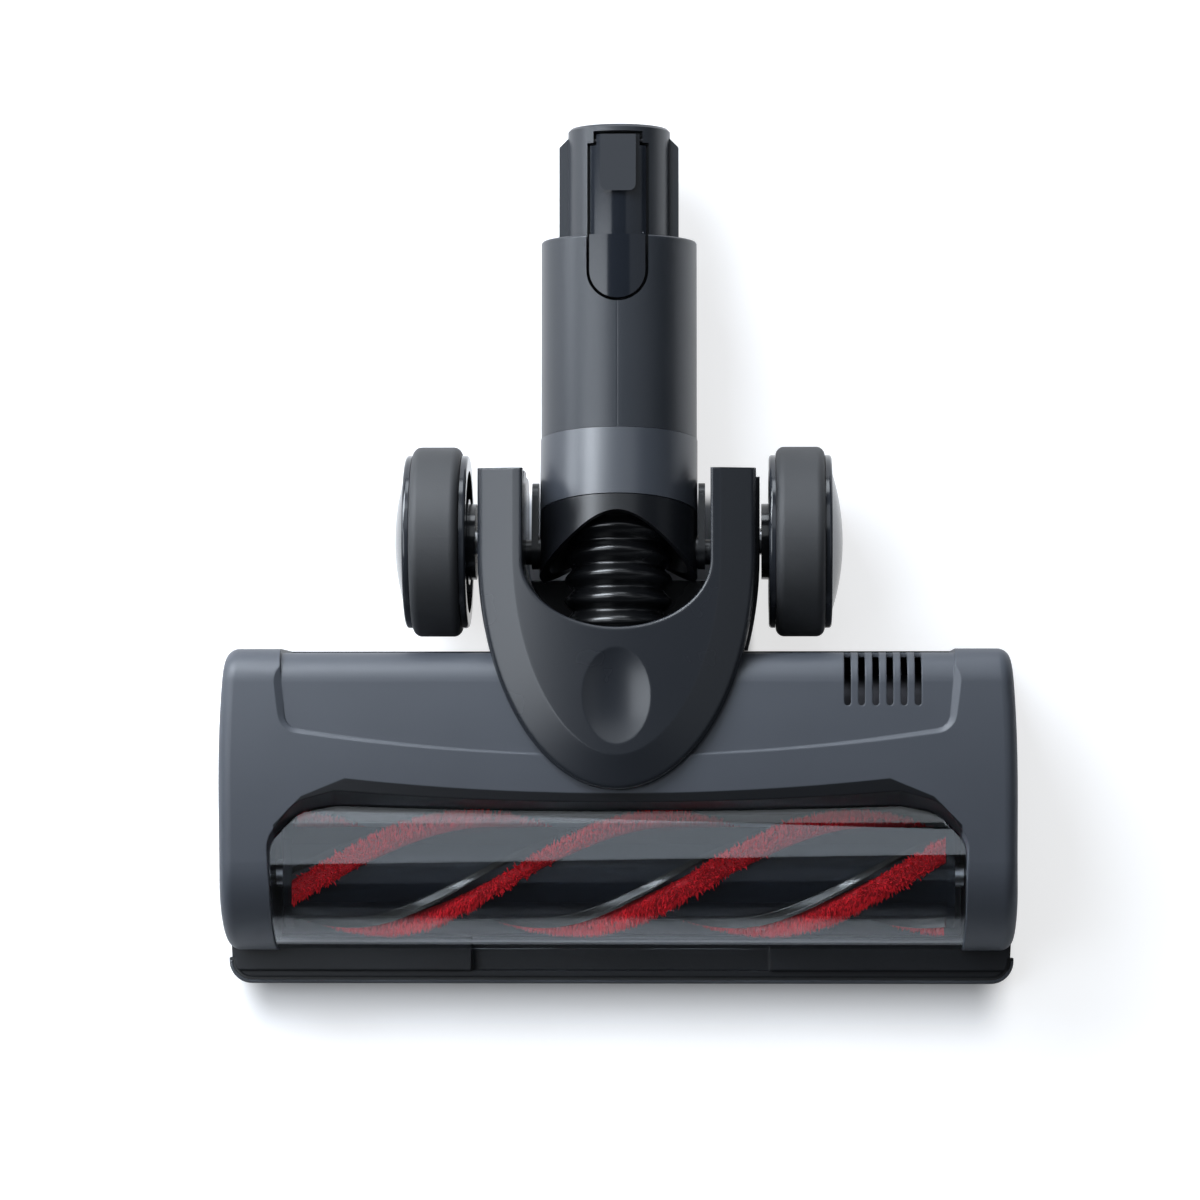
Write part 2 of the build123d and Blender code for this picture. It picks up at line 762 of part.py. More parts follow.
for side, name in ((-1, "left"), (1, "right")):
    with BuildPart() as bulkhead:
        extrude(side_profile(wall + seat_gap), amount=side * (bulkhead_x + bulkhead_thickness))
        with BuildSketch(across(0, 0, floor_z + seat_gap)):
            with Locations((chamber_front_y + seat_gap, 0)):
                Rectangle(
                    housing_rear_y - wall - chamber_front_y - 2 * seat_gap,
                    seam_z - floor_z,
                    align=(Align.MIN, Align.MIN),
                )
        extrude(amount=side * (bulkhead_x + bulkhead_thickness))
        with BuildSketch(across(0, 0, frame_low_z - seat_gap)):
            with Locations((housing_rear_y, 0)):
                Rectangle(2 * housing_half_width, top_limit, align=(Align.MAX, Align.MIN))
        extrude(amount=side * housing_half_width, mode=Mode.SUBTRACT)
        with BuildSketch(across(0, nose_y, nose_z)):
            Rectangle(4 * nose_radius, 4 * nose_radius)
        extrude(amount=side * bulkhead_x, mode=Mode.SUBTRACT)
        with BuildSketch(across(0, roller_y, roller_z)):
            Circle(bearing_radius)
        extrude(amount=side * housing_half_width, mode=Mode.SUBTRACT)
        if side > 0:
            with BuildSketch(across(0, motor_y, motor_z)):
                Circle(2 * motor_shaft_radius)
            extrude(amount=housing_half_width, mode=Mode.SUBTRACT)
    save(bulkhead, f"{name}_bulkhead")

    with BuildPart() as bearing:
        with BuildSketch(across(side * bulkhead_x, roller_y, roller_z)):
            Circle(bearing_radius)
            Circle(roller_shaft_radius + run_gap, mode=Mode.SUBTRACT)
        extrude(amount=side * bulkhead_thickness)
    save(bearing, f"{name}_roller_bearing")

# Brush roller: a flanged core on a shaft, with helical strips between the flanges
with BuildPart() as roller_core:
    with BuildSketch(across(0, roller_y, roller_z)):
        Circle(core_radius)
    extrude(amount=roller_half_length, both=True)
    for side in (-1, 1):
        with BuildSketch(across(side * roller_half_length, roller_y, roller_z)):
            Circle(flange_radius)
        extrude(amount=-side * flange_thickness)
    with BuildSketch(across(0, roller_y, roller_z)):
        Circle(roller_shaft_radius)
    extrude(amount=roller_half_length, both=True, mode=Mode.SUBTRACT)
save(roller_core, "roller_core")

with BuildPart() as roller_shaft:
    with BuildSketch(across(belt_x + belt_width, roller_y, roller_z)):
        Circle(roller_shaft_radius)
    extrude(amount=-(belt_x + belt_width + bulkhead_x + bulkhead_thickness))
save(roller_shaft, "roller_shaft")


def helical_strip(outer_radius, width, top_x):
    """One strip wound round the core between the flanges, on top of the roller at top_x."""
    middle_radius = (outer_radius + core_radius) / 2
    overlap = core_radius / 4
    spare = 2 * width
    start_x = -strip_half_length - spare
    with BuildPart() as strip:
        with BuildLine() as winding:
            Helix(
                strip_lead,
                2 * (strip_half_length + spare),
                middle_radius,
                center=(start_x, roller_y, roller_z),
                direction=(1, 0, 0),
                lefthand=True,
            )
        path = winding.line
        start = path @ 0
        outwards = start - Vector(start_x, roller_y, roller_z)
        with BuildSketch(Plane(start, x_dir=outwards, z_dir=path % 0)):
            Rectangle(outer_radius - core_radius + 2 * overlap, width)
        sweep(path=path, is_frenet=True)
        with BuildSketch(across(0, roller_y, roller_z)):
            Circle(outer_radius)
        extrude(amount=strip_half_length, both=True, mode=Mode.INTERSECT)
        with BuildSketch(across(0, roller_y, roller_z)):
            Circle(core_radius)
        extrude(amount=roller_half_length, both=True, mode=Mode.SUBTRACT)
    begin = degrees(atan2(outwards.Z, outwards.Y))
    return strip.part.rotate(roller_axis, 90 + 360 * (top_x - start_x) / strip_lead - begin)


strip_pitch = strip_lead / strip_count
strip_tops = [strip_top_x + strip_pitch * index for index in range(strip_count)]
bristle_strips = [helical_strip(bristle_radius, bristle_width, x) for x in strip_tops]
fin_lead = strip_lead * fin_lead_angle / 360
fin_strips = [helical_strip(fin_radius, fin_width, x - fin_lead) for x in strip_tops]

with BuildPart() as red_bristles:
    add(bristle_strips)
save(red_bristles, "red_bristles")

with BuildPart() as soft_fins:
    add(fin_strips)
save(soft_fins, "soft_fins")


def pulley_outline(radius, bore):
    """Half section of a ribbed pulley: x along the axis from its inner face, y outwards."""
    first = (belt_width - rib_count * rib_pitch) / 2
    edge = [(0, bore), (0, radius)]
    for index in range(rib_count):
        near = first + index * rib_pitch
        edge += [(near, radius), (near + rib_pitch / 2, radius - rib_depth)]
    edge += [(first + rib_count * rib_pitch, radius), (belt_width, radius), (belt_width, bore)]
    with BuildSketch(Plane.XZ) as outline:
        with BuildLine():
            Polyline(*edge, close=True)
        make_face()
    return outline.sketch


with BuildPart() as roller_pulley:
    revolve(
        Plane((belt_x, roller_y, roller_z), x_dir=(1, 0, 0), z_dir=(0, -1, 0)).location
        * pulley_outline(roller_pulley_radius, roller_shaft_radius),
        axis=roller_axis,
    )
save(roller_pulley, "roller_pulley")

# Motor behind the roller, its shaft driving the roller by a ribbed belt
motor_back_x = bulkhead_x - motor_length
with BuildPart() as motor_can:
    with BuildSketch(across(motor_back_x, motor_y, motor_z)):
        Circle(motor_radius)
    extrude(amount=motor_length - seat_gap)
    with BuildSketch(across(motor_back_x + motor_wall, motor_y, motor_z)):
        Circle(motor_radius - motor_wall)
    extrude(amount=motor_length - seat_gap - 2 * motor_wall, mode=Mode.SUBTRACT)
    with BuildSketch(across(motor_back_x, motor_y, motor_z)):
        Circle(motor_shaft_radius + run_gap)
    extrude(amount=motor_length, mode=Mode.SUBTRACT)
save(motor_can, "motor_can")

with BuildPart() as motor_rotor:
    with BuildSketch(across(motor_back_x - motor_wall, motor_y, motor_z)):
        Circle(motor_shaft_radius)
    extrude(amount=belt_x + belt_width - motor_back_x + motor_wall)
    with BuildSketch(across(motor_back_x + 3 * motor_wall, motor_y, motor_z)):
        Circle(rotor_radius)
    extrude(amount=motor_length - 6 * motor_wall)
save(motor_rotor, "motor_rotor")

with BuildPart() as motor_pulley:
    revolve(
        Plane((belt_x, motor_y, motor_z), x_dir=(1, 0, 0), z_dir=(0, -1, 0)).location
        * pulley_outline(motor_pulley_radius, motor_shaft_radius),
        axis=motor_axis,
    )
save(motor_pulley, "motor_pulley")

with BuildPart() as drive_belt:
    reach_y = motor_y - roller_y
    reach_z = motor_z - roller_z
    span = sqrt(reach_y**2 + reach_z**2)
    line_angle = degrees(atan2(reach_z, reach_y))
    wrap = degrees(acos((roller_pulley_radius - motor_pulley_radius) / span))
    with BuildLine(across(belt_x + belt_width / 2, roller_y, roller_z)) as loop:
        big = CenterArc((0, 0), roller_pulley_radius, line_angle + wrap, 360 - 2 * wrap)
        small = CenterArc((reach_y, reach_z), motor_pulley_radius, line_angle - wrap, 2 * wrap)
        Line(big @ 1, small @ 0)
        Line(small @ 1, big @ 0)
    path = loop.wires()[0]
    start = path @ 0
    outwards = start - Vector(start.X, roller_y, roller_z)
    with BuildSketch(Plane(start, x_dir=outwards, z_dir=path % 0)):
        with BuildLine():
            half = belt_width / 2 - belt_clear
            tooth = rib_pitch / 2 - belt_clear
            edge = [(belt_thickness, -half), (belt_clear, -half)]
            for index in range(rib_count):
                middle = (index - (rib_count - 1) / 2) * rib_pitch
                edge += [
                    (belt_clear, middle - tooth),
                    (2 * belt_clear - rib_depth, middle),
                    (belt_clear, middle + tooth),
                ]
            edge += [(belt_clear, half), (belt_thickness, half)]
            Polyline(*edge, close=True)
        make_face()
    sweep(path=path)
save(drive_belt, "drive_belt")

# Bores for the wheel axles, through both halves of the yoke
with BuildPart() as axle_bores:
    for side in (-1, 1):
        with BuildSketch(across(side * axle_inner_x, axle_y, axle_z)):
            Circle(axle_radius)
        extrude(amount=side * housing_half_width)

# Yoke: an arched teardrop cover with two arms, closed from below by a matching base
with BuildPart() as yoke_cover:
    extrude(
        yoke_outline(yoke_split_z, arm_outer_x, yoke_tip_y, arm_rear_y),
        amount=yoke_top_z - yoke_split_z,
    )
    with BuildSketch(across(0, arch_y, yoke_top_z - arch_radius)):
        Circle(arch_radius)
    extrude(amount=housing_half_width, both=True, mode=Mode.INTERSECT)
    crown_edges = yoke_cover.faces().sort_by(Axis.Z)[-1].edges()
    crown_edges = crown_edges.filter_by(lambda e: e.center().Y < arm_rear_y - seat_gap)
    chamfer(crown_edges, length=bevel_drop, length2=bevel_band)
    rim_edges = yoke_cover.edges().filter_by(GeomType.LINE, reverse=True)
    rim_edges = rim_edges.filter_by(lambda e: e.center().Z > yoke_split_z + seat_gap)
    rim_edges = rim_edges.filter_by(
        lambda e: abs(e.center().X) > arm_outer_x - seat_gap or e.center().Y < yoke_tip_y + seat_gap
    )
    fillet(rim_edges, radius=yoke_edge_round)
    extrude(opening_outline(yoke_split_z), amount=top_limit, mode=Mode.SUBTRACT)
    lip_edges = yoke_cover.edges().filter_by(lambda e: abs(e.center().X) < arm_inner_x + seat_gap)
    lip_edges = lip_edges.filter_by(lambda e: e.center().Z > yoke_top_z - arm_end_round)
    lip_edges = lip_edges.filter_by(lambda e: e.center().Y > opening_front_y - seat_gap)
    lip_edges = lip_edges.filter_by(lambda e: e.center().Y < arm_rear_y - seat_gap)
    fillet(lip_edges, radius=opening_lip_round)
    with BuildSketch(across(0, arm_rear_y, yoke_height(arm_rear_y - arm_end_round))):
        Rectangle(arm_end_round, arm_end_round, align=(Align.MAX, Align.MAX))
        with Locations((-arm_end_round, -arm_end_round)):
            Circle(arm_end_round, mode=Mode.SUBTRACT)
    extrude(amount=housing_half_width, both=True, mode=Mode.SUBTRACT)
    add(axle_bores.part, mode=Mode.SUBTRACT)
    add(shell_form.part, mode=Mode.SUBTRACT)
    # Oval finger dimple: the cap of a long ellipsoid
    dimple_radius = (dimple_half_width**2 + dimple_depth**2) / (2 * dimple_depth)
    dimple_stretch = dimple_half_length / dimple_half_width
    dimple_z = yoke_height(dimple_y) + dimple_radius - dimple_depth
    with BuildSketch(across(0, dimple_y, dimple_z)):
        Ellipse(dimple_radius * dimple_stretch, dimple_radius)
        Rectangle(
            4 * dimple_radius,
            2 * dimple_radius,
            align=(Align.CENTER, Align.MIN),
            mode=Mode.SUBTRACT,
        )
    revolve(axis=Axis((0, dimple_y, dimple_z), (0, 1, 0)), mode=Mode.SUBTRACT)
    with BuildSketch(across(0, trunnion_y, trunnion_z)):
        Circle(trunnion_radius + run_gap)
    extrude(amount=arm_inner_x + trunnion_depth + seat_gap, both=True, mode=Mode.SUBTRACT)
    with BuildSketch(back_plane(yoke_tip_y, trunnion_z)):
        Circle(duct_flange_radius + part_gap)
    extrude(amount=opening_curve_y - yoke_tip_y, mode=Mode.SUBTRACT)
    with BuildSketch(Plane.XY.offset(yoke_split_z)):
        with Locations(*yoke_screw_spots):
            Circle(screw_radius + run_gap)
    extrude(amount=screw_length, mode=Mode.SUBTRACT)
save(yoke_cover, "yoke_cover")

with BuildPart() as yoke_base:
    base_rear_y = arm_rear_y - base_skirt
    skirt_x = arm_outer_x + base_skirt
    extrude(
        yoke_outline(yoke_low_z, skirt_x, yoke_tip_y, base_rear_y),
        amount=yoke_split_z - seat_gap - yoke_low_z,
    )
    extrude(opening_outline(yoke_low_z + base_floor), amount=top_limit, mode=Mode.SUBTRACT)
    with BuildSketch(Plane.XY.offset(yoke_low_z)):
        add(opening_outline(yoke_low_z))
        with Locations((0, base_floor_rear_y)):
            Rectangle(
                2 * arm_outer_x,
                4 * arm_outer_x,
                align=(Align.CENTER, Align.MIN),
                mode=Mode.INTERSECT,
            )
    extrude(amount=base_floor, mode=Mode.SUBTRACT)
    with BuildSketch(Plane.XY.offset(yoke_low_z)):
        with Locations((0, housing_rear_y + seat_gap)):
            Rectangle(4 * arm_outer_x, 4 * arm_outer_x, align=(Align.CENTER, Align.MAX))
    extrude(amount=top_limit, mode=Mode.SUBTRACT)
    with BuildSketch(across(0, base_rear_y, yoke_low_z)):
        Rectangle(arm_end_round, arm_end_round, align=(Align.MAX, Align.MIN))
        with Locations((-arm_end_round, arm_end_round)):
            Circle(arm_end_round, mode=Mode.SUBTRACT)
    extrude(amount=housing_half_width, both=True, mode=Mode.SUBTRACT)
    with BuildSketch(across(0, trunnion_y, trunnion_z)):
        Circle(trunnion_radius + run_gap)
    extrude(amount=arm_inner_x + trunnion_depth + seat_gap, both=True, mode=Mode.SUBTRACT)
    add(axle_bores.part, mode=Mode.SUBTRACT)
    with BuildSketch(back_plane(yoke_tip_y, trunnion_z)):
        Circle(duct_flange_radius + part_gap)
    extrude(amount=opening_curve_y - yoke_tip_y, mode=Mode.SUBTRACT)
    with BuildSketch(Plane.XY.offset(yoke_low_z)):
        with Locations(*yoke_screw_spots):
            Circle(screw_head_radius + part_gap)
    extrude(amount=yoke_screw_sink + screw_head_height, mode=Mode.SUBTRACT)
    with BuildSketch(Plane.XY.offset(yoke_low_z)):
        with Locations(*yoke_screw_spots):
            Circle(screw_radius + run_gap)
    extrude(amount=top_limit, mode=Mode.SUBTRACT)
save(yoke_base, "yoke_base")

def turned(side, y, z, points):
    """Section of a turned piece on one side of the head: x outwards, y from its axis."""
    with BuildSketch(side_plane(side, y, z)) as section:
        with BuildLine():
            Polyline(*points, close=True)
        make_face()
    return section.sketch


# Big wheels: tyre on a dished hub with a domed cap, turning on a fixed axle
hub_face_x = hub_outer_x - cap_seat
tyre_seat_radius = wheel_radius - tyre_thickness
boss_x = arm_outer_x + base_skirt + hub_boss_gap
for side, name in ((-1, "left"), (1, "right")):
    with BuildPart() as wheel_axle:
        with BuildSketch(across(side * axle_inner_x, axle_y, axle_z)):
            Circle(axle_radius)
        extrude(amount=side * (hub_face_x - part_gap - axle_inner_x))
    save(wheel_axle, f"{name}_wheel_axle")

    with BuildPart() as wheel_hub:
        revolve(
            turned(
                side,
                axle_y,
                axle_z,
                (
                    (boss_x, axle_radius + run_gap),
                    (boss_x, hub_boss_radius),
                    (hub_inner_x, hub_boss_radius),
                    (hub_inner_x, hub_pocket_inner_radius),
                    (hub_inner_x + hub_pocket_depth, hub_pocket_inner_radius),
                    (hub_inner_x + hub_pocket_depth, hub_pocket_outer_radius),
                    (hub_inner_x, hub_pocket_outer_radius),
                    (hub_inner_x, hub_radius),
                    (tyre_inner_x - seat_gap, hub_radius),
                    (tyre_inner_x - seat_gap, tyre_seat_radius - seat_gap),
                    (tyre_outer_x + seat_gap, tyre_seat_radius - seat_gap),
                    (tyre_outer_x + seat_gap, hub_radius),
                    (hub_outer_x, hub_radius),
                    (hub_outer_x, cap_radius + seat_gap),
                    (hub_face_x, cap_radius + seat_gap),
                    (hub_face_x, axle_radius + run_gap),
                ),
            ),
            axis=wheel_axis,
        )
        rims = wheel_hub.edges().filter_by(GeomType.CIRCLE)
        rims = rims.filter_by(lambda e: abs(e.radius - hub_radius) < run_gap)
        fillet([rims.sort_by(Axis.X)[0], rims.sort_by(Axis.X)[-1]], radius=hub_lip_round)
    save(wheel_hub, f"{name}_wheel_hub")

    with BuildPart() as tyre:
        revolve(
            turned(
                side,
                axle_y,
                axle_z,
                (
                    (tyre_inner_x, tyre_seat_radius),
                    (tyre_inner_x, wheel_radius),
                    (tyre_outer_x, wheel_radius),
                    (tyre_outer_x, tyre_seat_radius),
                ),
            ),
            axis=wheel_axis,
        )
        rims = tyre.edges().filter_by(GeomType.CIRCLE)
        fillet(rims.filter_by(lambda e: e.radius > wheel_radius - run_gap), radius=tyre_round)
    save(tyre, f"{name}_tyre")

    with BuildPart() as hub_cap:
        cap_x = hub_face_x + seat_gap
        with BuildSketch(side_plane(side, axle_y, axle_z)):
            with BuildLine():
                rim = Line((cap_x, 0), (cap_x, cap_radius))
                skirt = Line(rim @ 1, (hub_outer_x, cap_radius))
                dome_radius = (cap_radius**2 + cap_dome**2) / (2 * cap_dome)
                RadiusArc(skirt @ 1, (hub_outer_x + cap_dome, 0), dome_radius)
                Line((hub_outer_x + cap_dome, 0), rim @ 0)
            make_face()
        revolve(axis=wheel_axis)
    save(hub_cap, f"{name}_hub_cap")

    # Small sole roller in its pocket
    with BuildPart() as sole_roller:
        roller_spot = side * sole_roller_x
        with BuildSketch(across(roller_spot, sole_roller_y, sole_roller_radius)):
            Circle(sole_roller_radius)
            Circle(sole_axle_radius + run_gap, mode=Mode.SUBTRACT)
        extrude(amount=sole_roller_width / 2, both=True)
        rims = sole_roller.edges().filter_by(GeomType.CIRCLE)
        fillet(rims.filter_by(lambda e: e.radius > sole_roller_radius - run_gap), radius=sole_roller_round)
    save(sole_roller, f"{name}_sole_roller")

    with BuildPart() as sole_axle:
        with BuildSketch(across(roller_spot, sole_roller_y, sole_roller_radius)):
            Circle(sole_axle_radius)
        extrude(amount=pocket_width / 2 + pocket_wall, both=True)
    save(sole_axle, f"{name}_sole_axle")

# Pivot collar: a saddle-cut ring on two trunnions, with a sleeve that the neck turns on
with BuildPart() as pivot_collar:
    with BuildSketch(swivel_plane.offset(collar_front_s)):
        Circle(collar_radius)
    extrude(amount=swivel_seam_s - swivel_gap / 2 - collar_front_s)
    with BuildSketch(swivel_plane.offset(shelf_s)):
        Circle(sleeve_radius)
    extrude(amount=sleeve_end_s - shelf_s)
    with BuildSketch(swivel_plane.offset(collar_front_s)):
        Circle(collar_radius - collar_wall)
    extrude(amount=shelf_s - collar_front_s, mode=Mode.SUBTRACT)
    with BuildSketch(arch_plane):
        with BuildLine():
            bell = Spline(
                (-arch_foot_x, arch_foot_s),
                (-arch_waist_x, arch_waist_s),
                (0, arch_peak_s),
                (arch_waist_x, arch_waist_s),
                (arch_foot_x, arch_foot_s),
            )
            Polyline(
                bell @ 1,
                (arch_foot_x, 2 * collar_front_s),
                (-arch_foot_x, 2 * collar_front_s),
                bell @ 0,
            )
        make_face()
    extrude(amount=2 * collar_radius, both=True, mode=Mode.SUBTRACT)
    with BuildSketch(swivel_plane.offset(shelf_s)):
        Circle(duct_bore_radius)
    extrude(amount=shelf_thickness, mode=Mode.SUBTRACT)
    with BuildSketch(swivel_plane.offset(shelf_s + shelf_thickness)):
        Circle(sleeve_radius - sleeve_wall)
    extrude(amount=mitre_s, mode=Mode.SUBTRACT)
    with BuildSketch(swivel_plane.offset(clip_s - seat_gap)):
        Circle(collar_radius)
        Circle(groove_radius, mode=Mode.SUBTRACT)
    extrude(amount=clip_thickness + 2 * seat_gap, mode=Mode.SUBTRACT)
    for side in (-1, 1):
        with BuildSketch(ear_plane(side, collar_radius - collar_wall)):
            Circle(ear_boss_radius)
        extrude(amount=ear_inner_x - collar_radius + collar_wall)
        with BuildSketch(ear_plane(side, ear_inner_x)):
            Circle(ear_radius)
            with Locations((ear_reach - ear_radius, 0)):
                Circle(ear_radius)
                Rectangle(ear_reach - ear_radius, 2 * ear_radius, align=(Align.MAX, Align.CENTER))
        extrude(amount=ear_thickness)
        with BuildSketch(ear_plane(side, ear_inner_x)):
            Circle(trunnion_radius)
        extrude(amount=arm_inner_x + trunnion_depth - ear_inner_x)
save(pivot_collar, "pivot_collar")

# Open ring that keeps the neck on the collar's sleeve
with BuildPart() as swivel_clip:
    with BuildSketch(swivel_plane.offset(clip_s)):
        Circle(clip_radius)
        Circle(groove_radius + seat_gap, mode=Mode.SUBTRACT)
        Rectangle(clip_opening, clip_radius, align=(Align.CENTER, Align.MAX), mode=Mode.SUBTRACT)
    extrude(amount=clip_thickness)
save(swivel_clip, "swivel_clip")

with BuildPart() as neck_cuff:
    with BuildSketch(swivel_plane.offset(swivel_seam_s + swivel_gap / 2)):
        Circle(collar_radius)
        Circle(sleeve_radius + swivel_gap, mode=Mode.SUBTRACT)
    extrude(amount=mitre_s)
    with BuildSketch(swivel_plane.offset(clip_s - swivel_gap)):
        Circle(clip_radius + swivel_gap)
    extrude(amount=mitre_s, mode=Mode.SUBTRACT)
    split(bisect_by=mitre_plane.offset(-seat_gap), keep=Keep.BOTTOM)
save(neck_cuff, "neck_cuff")

with BuildPart() as neck_tube:
    with BuildSketch(neck_plane.offset(trunnion_y)):
        Circle(tube_radius)
    extrude(amount=tube_end_y - trunnion_y)
    end_rim = neck_tube.edges().filter_by(GeomType.CIRCLE).sort_by(Axis.Y)[-1]
    fillet(end_rim, radius=tube_end_round)
    with BuildSketch(neck_plane.offset(trunnion_y)):
        Circle(tube_radius - tube_wall)
    extrude(amount=tube_end_y - tube_cap - trunnion_y, mode=Mode.SUBTRACT)
    split(bisect_by=mitre_plane, keep=Keep.TOP)
    with BuildSketch(neck_plane.offset(tube_end_y)):
        Circle(spigot_radius + seat_gap)
        Rectangle(2 * (rib_reach + seat_gap), rib_height + 2 * seat_gap)
    extrude(amount=-2 * tube_cap, mode=Mode.SUBTRACT)
    with BuildSketch(Plane.XY.offset(neck_z + roof_h)):
        with Locations((0, latch_pad_y)):
            Circle(latch_half_width + latch_gap)
            Rectangle(
                2 * (latch_half_width + latch_gap),
                spigot_tip_y - latch_pad_y,
                align=(Align.CENTER, Align.MIN),
            )
    extrude(amount=tube_radius, mode=Mode.SUBTRACT)
save(neck_tube, "neck_tube")

# Spigot that plugs into the wand: guide ribs, a slot for the latch and a D-shaped bore
with BuildPart() as connector_spigot:
    with BuildSketch(neck_plane.offset(spigot_inner_y)):
        Circle(spigot_radius)
    extrude(amount=spigot_tip_y - spigot_inner_y)
    tip_rim = connector_spigot.edges().filter_by(GeomType.CIRCLE).sort_by(Axis.Y)[-1]
    chamfer(tip_rim, length=spigot_tip_chamfer)
    with BuildSketch(neck_plane.offset(spigot_inner_y)):
        Circle(tube_radius - tube_wall - seat_gap)
    extrude(amount=spigot_flange_thickness)
    with BuildSketch(Plane.XY.offset(neck_z)):
        with BuildLine():
            Polyline(
                (0, tube_end_y - tube_cap),
                (rib_reach, tube_end_y - tube_cap),
                (rib_reach, rib_end_y - rib_chamfer),
                (rib_reach - rib_chamfer, rib_end_y),
                (0, rib_end_y),
            )
            mirror(about=Plane.YZ)
        make_face()
    extrude(amount=rib_height / 2, both=True)
    with BuildSketch(neck_plane.offset(spigot_inner_y)):
        Circle(spigot_radius - spigot_wall)
        with Locations((0, spigot_flat_h)):
            Rectangle(
                2 * spigot_radius,
                spigot_radius,
                align=(Align.CENTER, Align.MIN),
                mode=Mode.SUBTRACT,
            )
    extrude(amount=spigot_tip_y - spigot_inner_y, mode=Mode.SUBTRACT)
    with BuildSketch(Plane.XY.offset(neck_z + roof_h)):
        with Locations((0, latch_slot_front_y)):
            Rectangle(
                2 * (latch_half_width + latch_gap),
                latch_shoulder_y + latch_gap - latch_slot_front_y,
                align=(Align.CENTER, Align.MIN),
            )
            Rectangle(
                2 * (latch_tab_half_width + latch_gap),
                latch_slot_end_y - latch_slot_front_y,
                align=(Align.CENTER, Align.MIN),
            )
    extrude(amount=spigot_radius, mode=Mode.SUBTRACT)
    with BuildSketch(across(0, latch_hinge_y, neck_z + latch_hinge_h)):
        Circle(latch_pin_radius)
    extrude(amount=latch_pin_half_length, both=True, mode=Mode.SUBTRACT)
save(connector_spigot, "connector_spigot")


def tongue_section(y, half_width):
    """Arched strip of the spigot's round wall, cut off at the latch's underside."""
    with BuildSketch(neck_plane.offset(y)) as section:
        Circle(spigot_radius)
        with Locations((0, latch_low_h)):
            Rectangle(2 * half_width, spigot_radius, align=(Align.CENTER, Align.MIN), mode=Mode.INTERSECT)
    return section.sketch


# Latch: thumb pad in the tube's wall, a step down its end, and a tongue hinged in the spigot
with BuildPart() as latch_lever:
    with BuildSketch(Plane.XY.offset(neck_z + tube_radius - tube_wall)):
        with Locations((0, latch_pad_y)):
            Circle(latch_half_width)
            Rectangle(
                2 * latch_half_width,
                tube_end_y - latch_pad_y,
                align=(Align.CENTER, Align.MIN),
            )
    extrude(amount=tube_wall)
    with BuildSketch(neck_plane.offset(tube_end_y - latch_riser)):
        with Locations((0, latch_low_h)):
            Rectangle(2 * latch_half_width, tube_radius, align=(Align.CENTER, Align.MIN))
    extrude(amount=latch_riser)
    with BuildSketch(neck_plane.offset(spigot_inner_y)):
        Circle(tube_radius)
    extrude(amount=spigot_tip_y - spigot_inner_y, mode=Mode.INTERSECT)
    step_y = tube_end_y - latch_riser
    extrude(tongue_section(step_y, latch_half_width), amount=latch_shoulder_y - step_y)
    extrude(tongue_section(step_y, latch_tab_half_width), amount=latch_tab_end_y - step_y)
    # Catch: a long ramp with an upright back face
    with BuildSketch(across(0, 0, neck_z)):
        with BuildLine():
            Polyline(
                (catch_y, latch_low_h),
                (catch_y, spigot_radius + catch_height),
                (latch_tab_end_y, spigot_radius),
                (latch_tab_end_y, latch_low_h),
                close=True,
            )
        make_face()
    extrude(amount=catch_half_width, both=True)
    catch_edges = latch_lever.edges().filter_by(Axis.Z)
    catch_edges = catch_edges.filter_by_position(Axis.Y, catch_y - seat_gap, catch_y + seat_gap)
    fillet(catch_edges, radius=catch_round)
    with BuildSketch(across(0, latch_hinge_y, neck_z + latch_hinge_h)):
        Circle(latch_boss_radius)
        Rectangle(
            2 * latch_boss_radius,
            latch_low_h - latch_hinge_h + seat_gap,
            align=(Align.CENTER, Align.MIN),
        )
    extrude(amount=latch_tab_half_width, both=True)
    with BuildSketch(across(0, latch_hinge_y, neck_z + latch_hinge_h)):
        Circle(latch_pin_radius + run_gap)
    extrude(amount=latch_half_width, both=True, mode=Mode.SUBTRACT)
save(latch_lever, "latch_lever")

with BuildPart() as latch_pin:
    with BuildSketch(across(0, latch_hinge_y, neck_z + latch_hinge_h)):
        Circle(latch_pin_radius)
    extrude(amount=latch_pin_half_length, both=True)
save(latch_pin, "latch_pin")

with BuildPart() as latch_spring:
    spring_low_z = neck_z + roof_h + spring_wire + run_gap
    spring_height = tube_radius - tube_wall - roof_h - 2 * spring_wire - 2 * run_gap
    with BuildLine(Plane((0, latch_spring_y, spring_low_z))) as spring_path:
        coil = Helix(pitch=spring_height / spring_turns, height=spring_height, radius=spring_radius)
    with BuildSketch(Plane(coil @ 0, z_dir=coil % 0)):
        Circle(spring_wire)
    sweep(path=coil, is_frenet=True)
save(latch_spring, "latch_spring")

# Bellows between the suction duct and the collar's shelf
with BuildPart() as bellows:
    fold_start_y = duct_end_y + bellows_cuff
    crests = [
        (fold_start_y + (step + 0.5) * fold_pitch, bellows_radius) for step in range(fold_count)
    ]
    valleys = [(fold_start_y + step * fold_pitch, bellows_valley) for step in range(fold_count + 1)]
    outside = [(duct_end_y, bellows_valley)] + sorted(crests + valleys)
    inside = [(y, r - bellows_wall) for y, r in reversed(outside)]
    with BuildSketch(across(0, 0, trunnion_z)):
        with BuildLine():
            Polyline(*outside, *inside, close=True)
        make_face()
    revolve(axis=Axis(trunnion_point, (0, 1, 0)))
    split(bisect_by=swivel_plane.offset(shelf_s), keep=Keep.BOTTOM)
save(bellows, "bellows")

